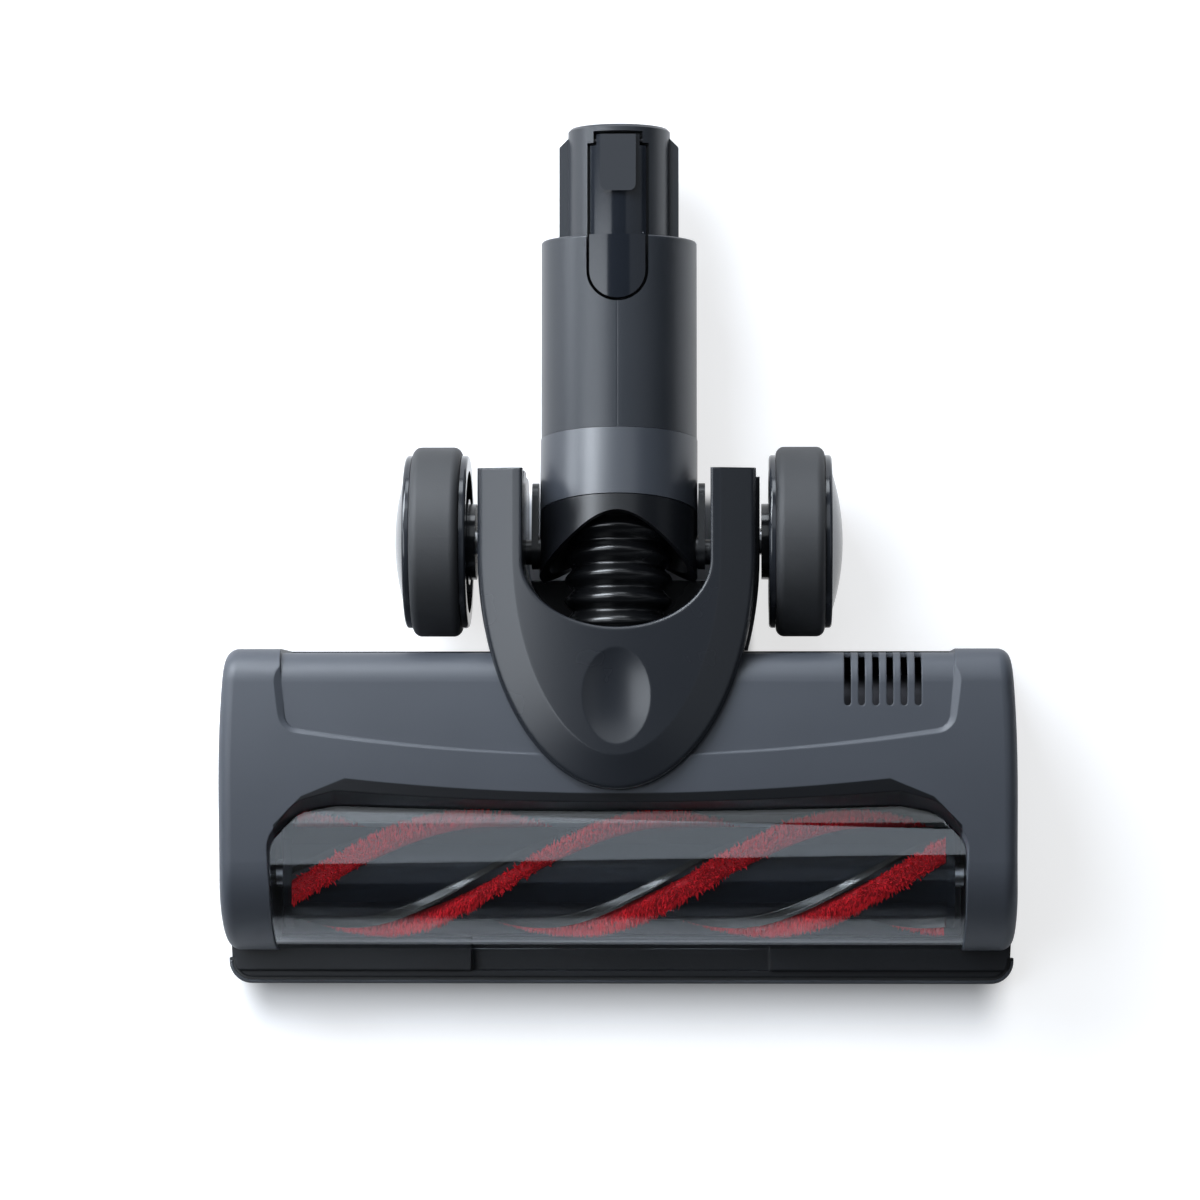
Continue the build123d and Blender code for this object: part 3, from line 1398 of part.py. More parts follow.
# Electric contacts in the floor of the spigot's bore
with BuildPart() as contact_block:
    with BuildSketch(neck_plane.offset(contact_front_y)):
        Circle(spigot_radius - spigot_wall - seat_gap)
        with Locations((0, contact_top_h)):
            Rectangle(
                2 * contact_half_width,
                spigot_radius,
                align=(Align.CENTER, Align.MAX),
                mode=Mode.INTERSECT,
            )
    extrude(amount=contact_back_y - contact_front_y)
    with BuildSketch(neck_plane.offset(contact_front_y)):
        with Locations((-contact_pin_x, contact_pin_h), (contact_pin_x, contact_pin_h)):
            Circle(contact_pin_radius)
    extrude(amount=contact_back_y - contact_front_y, mode=Mode.SUBTRACT)
save(contact_block, "contact_block")

with BuildPart() as contact_pins:
    with BuildSketch(neck_plane.offset(contact_front_y)):
        with Locations((-contact_pin_x, contact_pin_h), (contact_pin_x, contact_pin_h)):
            Circle(contact_pin_radius)
    extrude(amount=contact_back_y + contact_pin_tip - contact_front_y)
save(contact_pins, "contact_pins")

# Screws: six up through the sole into the shell, four up through the yoke's base
with BuildPart() as housing_screws:
    with BuildSketch(Plane.XY.offset(sole_z + part_gap)):
        with Locations(*screw_spots):
            Circle(screw_head_radius)
    extrude(amount=screw_head_height)
    with BuildSketch(Plane.XY.offset(sole_z + part_gap)):
        with Locations(*screw_spots):
            Circle(screw_radius)
    extrude(amount=seam_z + screw_length - sole_z - 2 * part_gap)
save(housing_screws, "housing_screws")

with BuildPart() as yoke_screws:
    with BuildSketch(Plane.XY.offset(yoke_low_z + yoke_screw_sink)):
        with Locations(*yoke_screw_spots):
            Circle(screw_head_radius)
    extrude(amount=screw_head_height)
    with BuildSketch(Plane.XY.offset(yoke_low_z + yoke_screw_sink)):
        with Locations(*yoke_screw_spots):
            Circle(screw_radius)
    extrude(amount=yoke_split_z + screw_length - yoke_low_z - yoke_screw_sink - part_gap)
save(yoke_screws, "yoke_screws")
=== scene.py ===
# %% [markdown]
# # A vacuum floor brush head, dressed for the camera
#
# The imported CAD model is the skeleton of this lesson. Its rigid mouldings already have
# the right shape, so they stay and only get finishes. Soft and fine pieces, which a solid
# modeller draws as plain bars and rings, are made again here as numpy surfaces: bristle
# tufts, wiping fins, the folded bellows, the latch spring and the screw heads. One piece is
# new, the thin rim on the bumper.

# %% Load the frame
import bpy
import numpy as np
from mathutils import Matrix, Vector


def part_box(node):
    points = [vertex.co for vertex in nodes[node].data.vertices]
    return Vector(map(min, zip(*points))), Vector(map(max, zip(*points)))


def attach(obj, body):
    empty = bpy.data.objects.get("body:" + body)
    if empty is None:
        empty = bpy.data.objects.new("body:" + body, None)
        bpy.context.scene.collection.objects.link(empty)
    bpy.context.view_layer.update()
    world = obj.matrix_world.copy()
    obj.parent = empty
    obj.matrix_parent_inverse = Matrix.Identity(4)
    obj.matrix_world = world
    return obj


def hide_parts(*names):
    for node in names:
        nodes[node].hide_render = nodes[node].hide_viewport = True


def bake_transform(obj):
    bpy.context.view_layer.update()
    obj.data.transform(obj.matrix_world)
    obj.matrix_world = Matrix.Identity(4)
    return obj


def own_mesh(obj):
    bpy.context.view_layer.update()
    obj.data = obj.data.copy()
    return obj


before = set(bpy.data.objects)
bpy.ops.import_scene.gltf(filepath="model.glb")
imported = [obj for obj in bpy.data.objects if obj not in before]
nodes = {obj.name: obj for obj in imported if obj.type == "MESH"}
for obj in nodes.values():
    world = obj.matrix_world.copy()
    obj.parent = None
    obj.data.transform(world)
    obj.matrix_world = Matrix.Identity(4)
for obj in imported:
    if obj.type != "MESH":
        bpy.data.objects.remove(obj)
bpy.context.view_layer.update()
MM = 0.001

# %% [markdown]
# ## A way to write shader maths
#
# A material is a graph of nodes. Wiring it by hand is long, so a small class wraps one
# output socket. Adding or multiplying two wrapped sockets adds the Math node that does
# it, and every other kind of node comes from the one method `add`.


# %% The shader helper
class Tint:
    """A value inside a material. Arithmetic on it adds Math nodes to the material's tree."""

    def __init__(self, tree, socket=None):
        self.tree = tree
        self.socket = socket

    def add(self, kind, settings=None, sockets=None, out=0):
        """Add one node: its settings first, then its sockets' values or links."""
        node = self.tree.nodes.new(kind)
        for key, value in (settings or {}).items():
            setattr(node, key, value)
        for key, value in (sockets or {}).items():
            if isinstance(value, Tint):
                self.tree.links.new(value.socket, node.inputs[key])
            else:
                node.inputs[key].default_value = value
        return Tint(self.tree, node.outputs[out] if len(node.outputs) else None)

    def maths(self, operation, first, second=0.0):
        """One Math node on one or two values."""
        return self.add("ShaderNodeMath", {"operation": operation}, {0: first, 1: second})

    def __add__(self, other):
        return self.maths("ADD", self, other)

    def __sub__(self, other):
        return self.maths("SUBTRACT", self, other)

    def __mul__(self, other):
        return self.maths("MULTIPLY", self, other)

    def __rsub__(self, other):
        return self.maths("SUBTRACT", other, self)

    __radd__ = __add__
    __rmul__ = __mul__

    def band(self, low, high):
        """0 below low, 1 above high, and a smooth step between them."""
        settings = {"interpolation_type": "SMOOTHSTEP"}
        values = {"Value": self, "From Min": low, "From Max": high}
        return self.add("ShaderNodeMapRange", settings, values)

    def mix(self, dark, light):
        """A colour between dark and light, by this value."""
        settings = {"data_type": "RGBA"}
        return self.add("ShaderNodeMix", settings, {0: self, 6: dark, 7: light}, out=2)


def new_finish(name):
    """An empty material, its tree and its object coordinates."""
    finish = bpy.data.materials.new(name)
    finish.use_nodes = True
    finish.node_tree.nodes.clear()
    start = Tint(finish.node_tree)
    place = start.add("ShaderNodeTexCoord", out=3)
    return finish, start, place


def close_finish(start, surface):
    """Link a surface to the material's output."""
    start.add("ShaderNodeOutputMaterial", None, {"Surface": surface})


def axes(start, place):
    """The X, Y and Z of a place, as three values."""
    parts = start.add("ShaderNodeSeparateXYZ", None, {"Vector": place}).socket.node
    return [Tint(start.tree, output) for output in parts.outputs]


def noise(start, place, scale, detail=2.0, stretch=(1.0, 1.0, 1.0)):
    """Cloudy values from 0 to 1. Scale is in cells per metre, before the stretch."""
    if stretch != (1.0, 1.0, 1.0):
        place = start.add("ShaderNodeMapping", None, {"Vector": place, "Scale": stretch})
    return start.add("ShaderNodeTexNoise", None, {"Vector": place, "Scale": scale, "Detail": detail})


print("shader helper ready")

# %% [markdown]
# ## Moulded plastics
#
# The shell is charcoal plastic from a spark-eroded mould: a fine, even grain that turns
# sharp reflections into a broad satin sheen. Grain is far too small to model, so it is a
# bump. Slow clouds in colour and roughness stand for flow and handling, and a few pale
# specks for dust.


# %% Satin and gloss mouldings
cloud_cells = 38.0  # cells per metre, as for dust and its patches
dust_cells = 95.0
patch_cells = 60.0
dust_colour = (0.3, 0.31, 0.33, 1.0)
grain_depth = 0.00006
seam_depth = 3.0  # in grains
# painted shade for the bevel above the window, darker than the shell
bevel_painted_shade = (0.0045, 0.005, 0.0065, 1.0)
bevel_gloss = 0.14


def moulded(
    name,
    colour,
    rough,
    grain=0.25,
    cell=2600.0,
    specks=0.0,
    seam=None,
    camber=None,
    recess=False,
    bend=1.5,
    soften=0.0,
    flow=1.0,
):
    """Plastic with a grain bump, whose cells per metre are given.

    Specks is how much the dust shows. Seam is the height above which a parting line runs along
    X = 0. Camber is the radius of a slight crown across X: the height falls by x squared over
    twice the radius. Recess paints shade on the bevel above the window, as if it leaned away
    from the light, and polishes it: the painted edge is a parabola across the middle and two
    straight falls at each end, whichever is lowest. Bend is the index of refraction. Soften is
    the radius by which hard edges are shaded as rounded ones. Flow is how much the colour
    clouds, and the clouds in the gloss stay.
    """
    finish, start, place = new_finish(name)
    cloud = noise(start, place, cloud_cells, 3.0)
    fine = noise(start, place, cell, 1.0)
    light = tuple((1 + 0.07 * flow) * part for part in colour)
    dark = tuple((1 - 0.06 * flow) * part for part in colour)
    shade = cloud.mix((*dark, 1.0), (*light, 1.0))
    if specks:
        where = {"Vector": place, "Scale": dust_cells}
        dust = start.add("ShaderNodeTexVoronoi", {"feature": "F1"}, where)
        rare = noise(start, place, patch_cells, 0.0).band(0.6, 0.66)
        spot = (1 - dust.band(0.018, 0.03)) * rare * specks
        shade = spot.mix(shade, dust_colour)
    height = fine
    if seam is not None:
        across, _, high = axes(start, place)
        side = start.maths("ABSOLUTE", across)
        groove = (1 - side.band(0.00008, 0.0003)) * high.band(seam, seam + 0.002)
        height = fine - seam_depth * groove
    relief = {"Strength": grain, "Distance": grain_depth, "Height": height}
    if soften:
        relief["Normal"] = start.add("ShaderNodeBevel", {"samples": 6}, {"Radius": soften})
    if camber is not None:
        across, _, _ = axes(start, place)
        fall = across * across * (-0.5 / camber)
        crown = {"Strength": 1.0, "Distance": 1.0, "Height": fall}
        if "Normal" in relief:
            crown["Normal"] = relief["Normal"]
        relief["Normal"] = start.add("ShaderNodeBump", None, crown)
    bump = start.add("ShaderNodeBump", None, relief)
    polish = rough - 0.02 + 0.04 * cloud
    if recess:
        across, along, _ = axes(start, place)
        side = start.maths("ABSOLUTE", across)
        middle = 0.674 * side * side - 0.0712
        shoulder = -0.0336 - 0.41 * side
        end = 0.0228 - 1.01 * side
        edge = start.maths("MINIMUM", start.maths("MINIMUM", middle, shoulder), end)
        # painted shade: inside is the bevel above the window, which is darkened and polished
        inside = (edge - along).band(0.0, 0.0005) * (1 - side.band(0.1022, 0.1026))
        shade = inside.mix(shade, bevel_painted_shade)
        polish = polish - bevel_gloss * inside
    values = {"Base Color": shade, "Roughness": polish, "Normal": bump, "IOR": bend}
    surface = start.add("ShaderNodeBsdfPrincipled", None, values)
    close_finish(start, surface)
    return finish


charcoal = (0.048, 0.0535, 0.065)
# recess=True paints shade on the shell's bevel above the window
shell_plastic = moulded("satin charcoal shell", charcoal, 0.46, specks=0.5, recess=True, soften=0.0006)
yoke_colour = (0.013, 0.0148, 0.0185)
yoke_plastic = moulded("half gloss yoke", yoke_colour, 0.27, grain=0.03, soften=0.0007, flow=0.0)
collar_plastic = moulded("dark collar", (0.005, 0.0056, 0.007), 0.3, grain=0.12, bend=1.4)
crown_plastic = moulded("cambered yoke", yoke_colour, 0.27, grain=0.03, camber=0.26, soften=0.0009, flow=0.0)
tube_plastic = moulded("satin neck tube", (0.019, 0.0218, 0.027), 0.36, specks=0.5, seam=0.045)
cuff_plastic = moulded("satin neck cuff", (0.034, 0.038, 0.046), 0.30)
spigot_plastic = moulded("satin spigot", (0.019, 0.0215, 0.026), 0.38, specks=0.4)
sole_plastic = moulded("satin sole", (0.0075, 0.0083, 0.0105), 0.42, bend=1.4, soften=0.0008)
inner_plastic = moulded("dark inner moulding", (0.012, 0.013, 0.015), 0.5)
roller_plastic = moulded("roller core", (0.004, 0.0048, 0.0065), 0.12, grain=0.0, bend=1.25)
wheel_gloss = moulded("gloss wheel moulding", (0.016, 0.018, 0.022), 0.16, grain=0.05, cell=900.0)
latch_gloss = moulded("gloss latch", (0.009, 0.011, 0.015), 0.12, grain=0.04, cell=700.0, specks=0.5)
print("moulded plastics ready")

# %% [markdown]
# ## Rubber, metal and bristle
#
# Tyres and the front strip are matt rubber, the bellows a shinier one. Small metal pieces
# get a stretched noise that reads as brushing. The red tufts take a random value stored on
# each tuft, so neighbours differ as dyed nylon does.


# %% Rubbers, metals and bristle colours
def rubber(name, colour, rough, grain, cell=1800.0, dust=0.0):
    """Soft matt finish with a coarse bump and an optional pale bloom."""
    finish, start, place = new_finish(name)
    cloud = noise(start, place, 55.0, 4.0)
    fine = noise(start, place, cell, 2.0)
    pale = tuple(part + dust for part in colour)
    shade = cloud.band(0.35, 0.75).mix((*colour, 1.0), (*pale, 1.0))
    bump = start.add("ShaderNodeBump", None, {"Strength": grain, "Distance": 0.0001, "Height": fine})
    polish = rough - 0.06 + 0.12 * cloud
    values = {"Base Color": shade, "Roughness": polish, "Normal": bump, "IOR": 1.52}
    close_finish(start, start.add("ShaderNodeBsdfPrincipled", None, values))
    return finish


def brushed(name, colour, rough, stretch):
    """Metal with fine lines across the long direction of the stretch."""
    finish, start, place = new_finish(name)
    lines = noise(start, place, 900.0, 2.0, stretch)
    shade = lines.mix((*(0.85 * part for part in colour), 1.0), (*colour, 1.0))
    polish = rough - 0.06 + 0.14 * lines
    bump = start.add("ShaderNodeBump", None, {"Strength": 0.12, "Distance": 0.00004, "Height": lines})
    values = {"Base Color": shade, "Roughness": polish, "Normal": bump, "Metallic": 1.0}
    close_finish(start, start.add("ShaderNodeBsdfPrincipled", None, values))
    return finish


def tufted(name, deep, bright):
    """Dyed nylon: each tuft's own random value picks its red, and the root gets painted shade."""
    finish, start, _ = new_finish(name)
    pick = start.add("ShaderNodeAttribute", {"attribute_name": "tuft_pick"}, out=2)
    rise = start.add("ShaderNodeAttribute", {"attribute_name": "tuft_rise"}, out=2)
    hue = pick.mix((*deep, 1.0), (*bright, 1.0))
    # painted shade: the foot of each tuft is darker, as if shaded by its neighbours
    root_shade = tuple(0.35 * part for part in deep)
    shade = rise.band(0.1, 0.9).mix((*root_shade, 1.0), hue)
    values = {"Base Color": shade, "Roughness": 0.7, "IOR": 1.25}
    close_finish(start, start.add("ShaderNodeBsdfPrincipled", None, values))
    return finish


tyre_rubber = rubber("matt tyre rubber", (0.0205, 0.0215, 0.0235), 0.62, 0.35, 1500.0, 0.006)
rim_rubber = rubber("polished rim", (0.05, 0.054, 0.062), 0.3, 0.1)
strip_rubber = rubber("front strip rubber", (0.006, 0.0065, 0.0075), 0.5, 0.25)
bellows_rubber = rubber("bellows rubber", (0.0025, 0.0027, 0.0032), 0.26, 0.05, 700.0)
belt_rubber = rubber("belt rubber", (0.01, 0.01, 0.01), 0.6, 0.3)
fin_rubber = rubber("wiping fin", (0.016, 0.0155, 0.014), 0.22, 0.03, 500.0)
steel = brushed("turned steel", (0.56, 0.56, 0.57), 0.32, (0.05, 1.0, 1.0))
# painted shade: the motor can is dark so that the vents look shaded inside
shade_dark_can_steel = brushed("motor can darkened as painted shade", (0.045, 0.045, 0.05), 0.45, (1.0, 0.1, 0.1))
dark_steel = brushed("blackened steel", (0.06, 0.06, 0.065), 0.4, (0.1, 1.0, 1.0))
bush_metal = brushed("oiled bush", (0.07, 0.06, 0.045), 0.45, (1.0, 1.0, 1.0))
contact_metal = brushed("plated contact", (0.83, 0.64, 0.3), 0.25, (1.0, 0.1, 1.0))
red_nylon = tufted("red tufts", (0.40, 0.004, 0.010), (0.72, 0.012, 0.020))
print("rubbers, metals and tufts ready")

# %% [markdown]
# ## The clear window
#
# The window is a polished, faintly grey sheet. Real glass casts almost no shadow, but a
# path tracer stops direct light at any refracting solid. So rays that only ask whether a
# light is hidden pass straight through, and every other ray meets the true refraction.


# %% Window finish
def clear_sheet(name, colour):
    """Clear plastic with a trace of haze, which lets light through to what lies under it."""
    finish, start, place = new_finish(name)
    haze = noise(start, place, 25.0, 3.0)
    values = {"Base Color": (*colour, 1.0), "Roughness": 0.01 + 0.02 * haze.band(0.45, 0.8)}
    values.update({"IOR": 1.49, "Transmission Weight": 1.0})
    sheet = start.add("ShaderNodeBsdfPrincipled", None, values)
    through = start.add("ShaderNodeBsdfTransparent", None, {"Color": (*colour, 1.0)})
    shadow = start.add("ShaderNodeLightPath", out=1)
    close_finish(start, start.add("ShaderNodeMixShader", None, {0: shadow, 1: sheet, 2: through}))
    return finish


window_sheet = clear_sheet("clear window", (0.86, 0.88, 0.9))
print("window finish ready")

# %% [markdown]
# ## Finishes on the CAD pieces
#
# A CAD piece whose shape is right keeps its mesh. It only needs its material slot filled.

# %% Assign the finishes
finish_of = {
    shell_plastic: ["upper_housing"],
    crown_plastic: ["yoke_cover"],
    yoke_plastic: ["yoke_base"],
    collar_plastic: ["pivot_collar"],
    tube_plastic: ["neck_tube"],
    cuff_plastic: ["neck_cuff"],
    spigot_plastic: ["connector_spigot"],
    sole_plastic: ["base_plate"],
    inner_plastic: [
        "roller_tunnel", "suction_duct", "left_bulkhead", "right_bulkhead", "contact_block",
        "roller_pulley", "motor_pulley", "left_sole_roller", "right_sole_roller",
    ],
    roller_plastic: ["roller_core"],
    wheel_gloss: ["left_wheel_hub", "right_wheel_hub", "left_hub_cap", "right_hub_cap"],
    latch_gloss: ["latch_lever"],
    tyre_rubber: ["left_tyre", "right_tyre"],
    strip_rubber: ["front_bumper"],
    bellows_rubber: ["bellows"],
    belt_rubber: ["drive_belt"],
    fin_rubber: ["soft_fins"],
    red_nylon: ["red_bristles"],
    window_sheet: ["clear_window"],
    shade_dark_can_steel: ["motor_can"],
    dark_steel: ["latch_pin"],
    bush_metal: ["left_roller_bearing", "right_roller_bearing"],
    contact_metal: ["contact_pins"],
    steel: [
        "roller_shaft", "motor_rotor", "left_wheel_axle", "right_wheel_axle", "left_sole_axle",
        "right_sole_axle", "latch_spring", "swivel_clip", "housing_screws", "yoke_screws",
    ],
}
for finish, names in finish_of.items():
    for name in names:
        nodes[name].data.materials.clear()
        nodes[name].data.materials.append(finish)
print("nodes with a finish:", sum(len(names) for names in finish_of.values()), "of", len(nodes))

# %% [markdown]
# ## Surfaces from grids
#
# Every new piece is a grid of points worked out at once with numpy. One helper turns such
# grids into a mesh: it numbers the corners of each cell, closes the grid where asked and
# copies the arrays into Blender in bulk.


# %% Grid helper
def grid_faces(rows, columns, wrap_rows=False, wrap_columns=False):
    """Corner numbers of the cells of a grid of points, optionally closed on itself."""
    i = np.arange(rows if wrap_rows else rows - 1)[:, None]
    j = np.arange(columns if wrap_columns else columns - 1)[None, :]
    a = i * columns + j
    b = i * columns + (j + 1) % columns
    c = (i + 1) % rows * columns + (j + 1) % columns
    d = (i + 1) % rows * columns + j
    return np.stack([a, b, c, d], axis=-1).reshape(-1, 4)


def make_piece(name, points, faces, finish, body, slot, smooth=True):
    """A mesh object from arrays of points (metres) and faces, riding on a body of the frame."""
    mesh = bpy.data.meshes.new(name)
    mesh.from_pydata(points.reshape(-1, 3), [], faces)
    mesh.polygons.foreach_set("use_smooth", np.full(len(mesh.polygons), smooth))
    mesh.materials.append(finish)
    piece = bpy.data.objects.new(name, mesh)
    bpy.context.scene.collection.objects.link(piece)
    if body:
        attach(piece, body)
    print(name, len(points.reshape(-1, 3)), "points", len(faces), "faces")
    return piece


print("grid helper ready")

# %% [markdown]
# ## Bristle tufts on the roller
#
# The strips of the brush are rows of fine nylon tufts set in a helix. A hair system would
# not survive the export, so each tuft is a slim three-sided spike. All of them are placed
# in one go: the distance along the strip and the place across it are two random arrays,
# and the helix turns those into points on the roller.

# %% Roller sizes shared by its pieces
roller_y = -96.0 * MM
roller_z = 20.6 * MM
core_radius = 14.0 * MM
strip_lead = 174.0 * MM
strip_half = 98.2 * MM
strip_tops = [(27.2 + 58.0 * index) * MM for index in range(3)]
rng = np.random.default_rng(7)


def on_roller(x, turn, radius):
    """Point at distance x along the axis, turned from the top towards the back by an angle."""
    y = roller_y + radius * np.sin(turn)
    z = roller_z + radius * np.cos(turn)
    return np.stack(np.broadcast_arrays(x, y, z), axis=-1)


def strip_turn(x, top_x):
    """Angle of a strip at x: zero where it crosses the top, one full turn per lead."""
    return 2 * np.pi * (x - top_x) / strip_lead


print("roller core radius", core_radius, "strips", len(strip_tops))


# %% Tufts and their backing
strip_radius = 17.0e-3  # where a strip's width is measured
wave_size = 0.5e-3  # sideways waves in the rows, and their length
wave_length = 3.1e-3
tip_spread = 1.1e-3  # how uneven the tips are, and how far the outer rows fall
edge_fall = 2.4e-3
lean_size = 0.55e-3
ring_heights = [0.0, 0.62, 1.0]
ring_radii = [0.34e-3, 0.26e-3, 0.06e-3]
tuft_points = 9


def tuft_strip(top_x, count, width, tip):
    """Spikes spread over one helical strip.

    Each spike is three rings of three points: a foot on the core, a knee two thirds up and a
    tip ring that is nearly closed. The lean grows with the square of the height.
    """
    x = rng.uniform(-strip_half, strip_half, count)
    across = rng.uniform(-0.5, 0.5, count)
    across = np.sign(across) * np.abs(2 * across) ** 0.85 / 2
    turn = strip_turn(x, top_x) + across * width / strip_radius
    wave = wave_size * np.sin(x / wave_length + 3 * across) * rng.uniform(0.3, 1.0, count)
    uneven = rng.uniform(0.0, tip_spread, count)
    length = tip - core_radius - uneven - edge_fall * (2 * np.abs(across)) ** 3
    lean_x = rng.normal(0, lean_size, count) + wave
    lean_t = rng.normal(0, 0.03, count) + 0.05 * across
    share = np.array(ring_heights)[None, :, None]
    thick = np.array(ring_radii)[None, :, None]
    twist = rng.uniform(0, 6.28, count)[:, None, None]
    around = (np.arange(3) * 2 * np.pi / 3)[None, None, :] + twist
    radius = core_radius - 0.2e-3 + length[:, None, None] * share
    px = x[:, None, None] + lean_x[:, None, None] * share**2 + thick * np.cos(around)
    pt = turn[:, None, None] + lean_t[:, None, None] * share**2 + thick * np.sin(around) / radius
    points = on_roller(np.clip(px, -strip_half, strip_half), pt, radius)
    faces = grid_faces(3, 3, wrap_columns=True)
    faces = faces[None] + tuft_points * np.arange(count)[:, None, None]
    pick = np.repeat(rng.uniform(0, 1, count), tuft_points)
    rise = np.broadcast_to(share, (count, 3, 3)).reshape(-1)
    return points.reshape(-1, 3), faces.reshape(-1, 4), pick, rise


def backing_strip(top_x, width, height):
    """Low solid ridge under the tufts: a flattened arch carried along the helix."""
    rows, columns = 260, 12
    x = np.linspace(-strip_half, strip_half, rows)[:, None]
    arch = np.linspace(0, np.pi, columns)[None, :]
    turn = strip_turn(x, top_x) - np.cos(arch) * width / 2 / core_radius
    radius = core_radius - 0.1e-3 + height * np.sin(arch) ** 0.5
    points = on_roller(x, turn, radius).reshape(-1, 3)
    pick = np.full(len(points), 0.3)
    rise = np.full(len(points), 0.35)
    return points, grid_faces(rows, columns), pick, rise


def joined(parts):
    """Several (points, faces, values…) sets as one, with the faces renumbered."""
    starts = np.cumsum([0] + [len(part[0]) for part in parts[:-1]])
    points = np.concatenate([part[0] for part in parts])
    faces = np.concatenate([part[1] + start for part, start in zip(parts, starts)])
    extra = [np.concatenate([part[k] for part in parts]) for k in range(2, len(parts[0]))]
    return points, faces, *extra


strip_widths = [7.4 * MM, 7.4 * MM, 5.2 * MM]
strips = list(zip(strip_tops, strip_widths))
tufts_per_metre = 0.8e6  # of the strip's width
tip_radius = 19.9 * MM
backing_inset = 1.0 * MM
backing_height = 3.6 * MM
brush = [tuft_strip(top, int(tufts_per_metre * width), width, tip_radius) for top, width in strips]
brush += [backing_strip(top, width - backing_inset, backing_height) for top, width in strips]
points, faces, pick, rise = joined(brush)
tufts = make_piece("bristle_tufts", points, faces, red_nylon, "brush_roller", "bristle", smooth=False)
for label, values in (("tuft_pick", pick), ("tuft_rise", rise)):
    layer = tufts.data.attributes.new(label, "FLOAT", "POINT")
    layer.data.foreach_set("value", values.astype(np.float32))
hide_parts("red_bristles")

# %% [markdown]
# ## Soft wiping fins
#
# Beside each row of tufts runs a soft fin that flicks dirt off hard floors. Its section is a
# low ramp between two thin lips, and the ramp leans back and left, so it catches the light.


# %% Fin blades
def fin_strip(top_x, half):
    """The fin's height above the core, by the place u across it, swept along the helix.

    The height is a straight ramp plus two narrow bell curves, one for each lip, and both ends
    drop below the core's skin.
    """
    rows, columns = 300, 61
    x = np.linspace(-strip_half, strip_half, rows)[:, None]
    u = np.linspace(-1, 1, columns)[None, :]
    ramp = 0.2 + 0.75 * (u + 1)
    low_lip = 0.45 * np.exp(-(((u + 0.92) / 0.05) ** 2))
    high_lip = 1.2 * np.exp(-(((u - 0.86) / 0.07) ** 2))
    lips = low_lip + high_lip
    inside = np.clip((1 - np.abs(u)) / 0.03, 0, 1)
    radius = core_radius - 0.2 * MM + inside * (ramp + lips) * MM
    turn = strip_turn(x, top_x) - half * u / core_radius
    return on_roller(x, turn, radius).reshape(-1, 3), grid_faces(rows, columns)


fin_turn = 24.0  # degrees from a strip to its fin
fin_half = 1.1 * MM
fin_gap = strip_lead * fin_turn / 360.0
fins = [fin_strip(top - fin_gap, fin_half) for top in strip_tops]
points, faces = joined(fins)
blades = make_piece("fin_blades", points, faces, fin_rubber, "brush_roller", "fin")
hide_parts("soft_fins")

# %% [markdown]
# ## The bellows
#
# A soft sleeve joins the suction duct to the tilting collar. Its wall is a wave turned round
# the duct's axis. The back end has to meet a slanted shelf, so each ring leans a little more
# than the one before it.


# %% Folded sleeve
def bellows_wall(rings, spokes):
    """A wavy tube: rounded crests from a raised sine, in an outer and an inner skin.

    The distance along the sleeve runs from the duct's flange to the shelf; the shelf's slope
    is mixed in by that share.
    """
    duct_y = -23.5 * MM
    pivot_y = 1.0 * MM
    axis_z = 33.5 * MM
    shelf_slant = np.radians(13.0)
    shelf_reach = 7.45 * MM
    trough_radius = 13.9 * MM
    fold_height = 2.4 * MM
    folds = 5
    share = np.linspace(0, 1, rings)[:, None]
    spoke = (np.arange(spokes) * 2 * np.pi / spokes)[None, :]
    skins = []
    for inset in (0.0, 1.0 * MM):
        wave = np.sin(np.pi * (folds * share + 0.02)) ** 2
        radius = trough_radius + fold_height * wave**0.8 - inset
        height = radius * np.cos(spoke)
        back_y = pivot_y + shelf_reach / np.cos(shelf_slant) + height * np.tan(shelf_slant)
        y = duct_y + share * (back_y - duct_y)
        skins.append(np.stack([radius * np.sin(spoke), y, axis_z + height], axis=-1))
    return np.concatenate([skins[0], skins[1][::-1]])


rings, spokes = 120, 72
wall = bellows_wall(rings, spokes)
faces = grid_faces(2 * rings, spokes, wrap_rows=True, wrap_columns=True)[:, ::-1]
sleeve = make_piece("bellows_sleeve", wall, faces, bellows_rubber, None, "bellows")
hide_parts("bellows")
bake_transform(sleeve)

# %% [markdown]
# ## Latch spring and bumper rim
#
# Two pieces are a round bar along a path. The latch stands on a small coil spring that has to
# shorten when the latch is pressed; the coil rides on the neck. The front bumper ends in a
# fine rounded rim, the thin pale line along its top.


# %% Round bars
def round_bar(path, radius, spokes=10):
    """A circle carried along a path of points.

    The circle stands across the path: one of its axes is the path's direction turned by a right
    angle on the level, the other is square to both. A first and a last ring of no size close
    the ends.
    """
    ahead = np.gradient(path, axis=0)
    ahead /= np.linalg.norm(ahead, axis=1, keepdims=True)
    level = np.stack([ahead[:, 1], -ahead[:, 0], 0 * ahead[:, 0]], axis=-1)
    level /= np.linalg.norm(level, axis=1, keepdims=True)
    upright = np.cross(ahead, level)
    spoke = (np.arange(spokes) * 2 * np.pi / spokes)[None, :, None]
    ring = radius * (np.cos(spoke) * level[:, None, :] + np.sin(spoke) * upright[:, None, :])
    skin = path[:, None, :] + ring
    ends = [np.repeat(path[k][None, None, :], spokes, axis=1) for k in (0, -1)]
    points = np.concatenate([ends[0], skin, ends[1]])
    return points, grid_faces(len(points), spokes, wrap_columns=True)


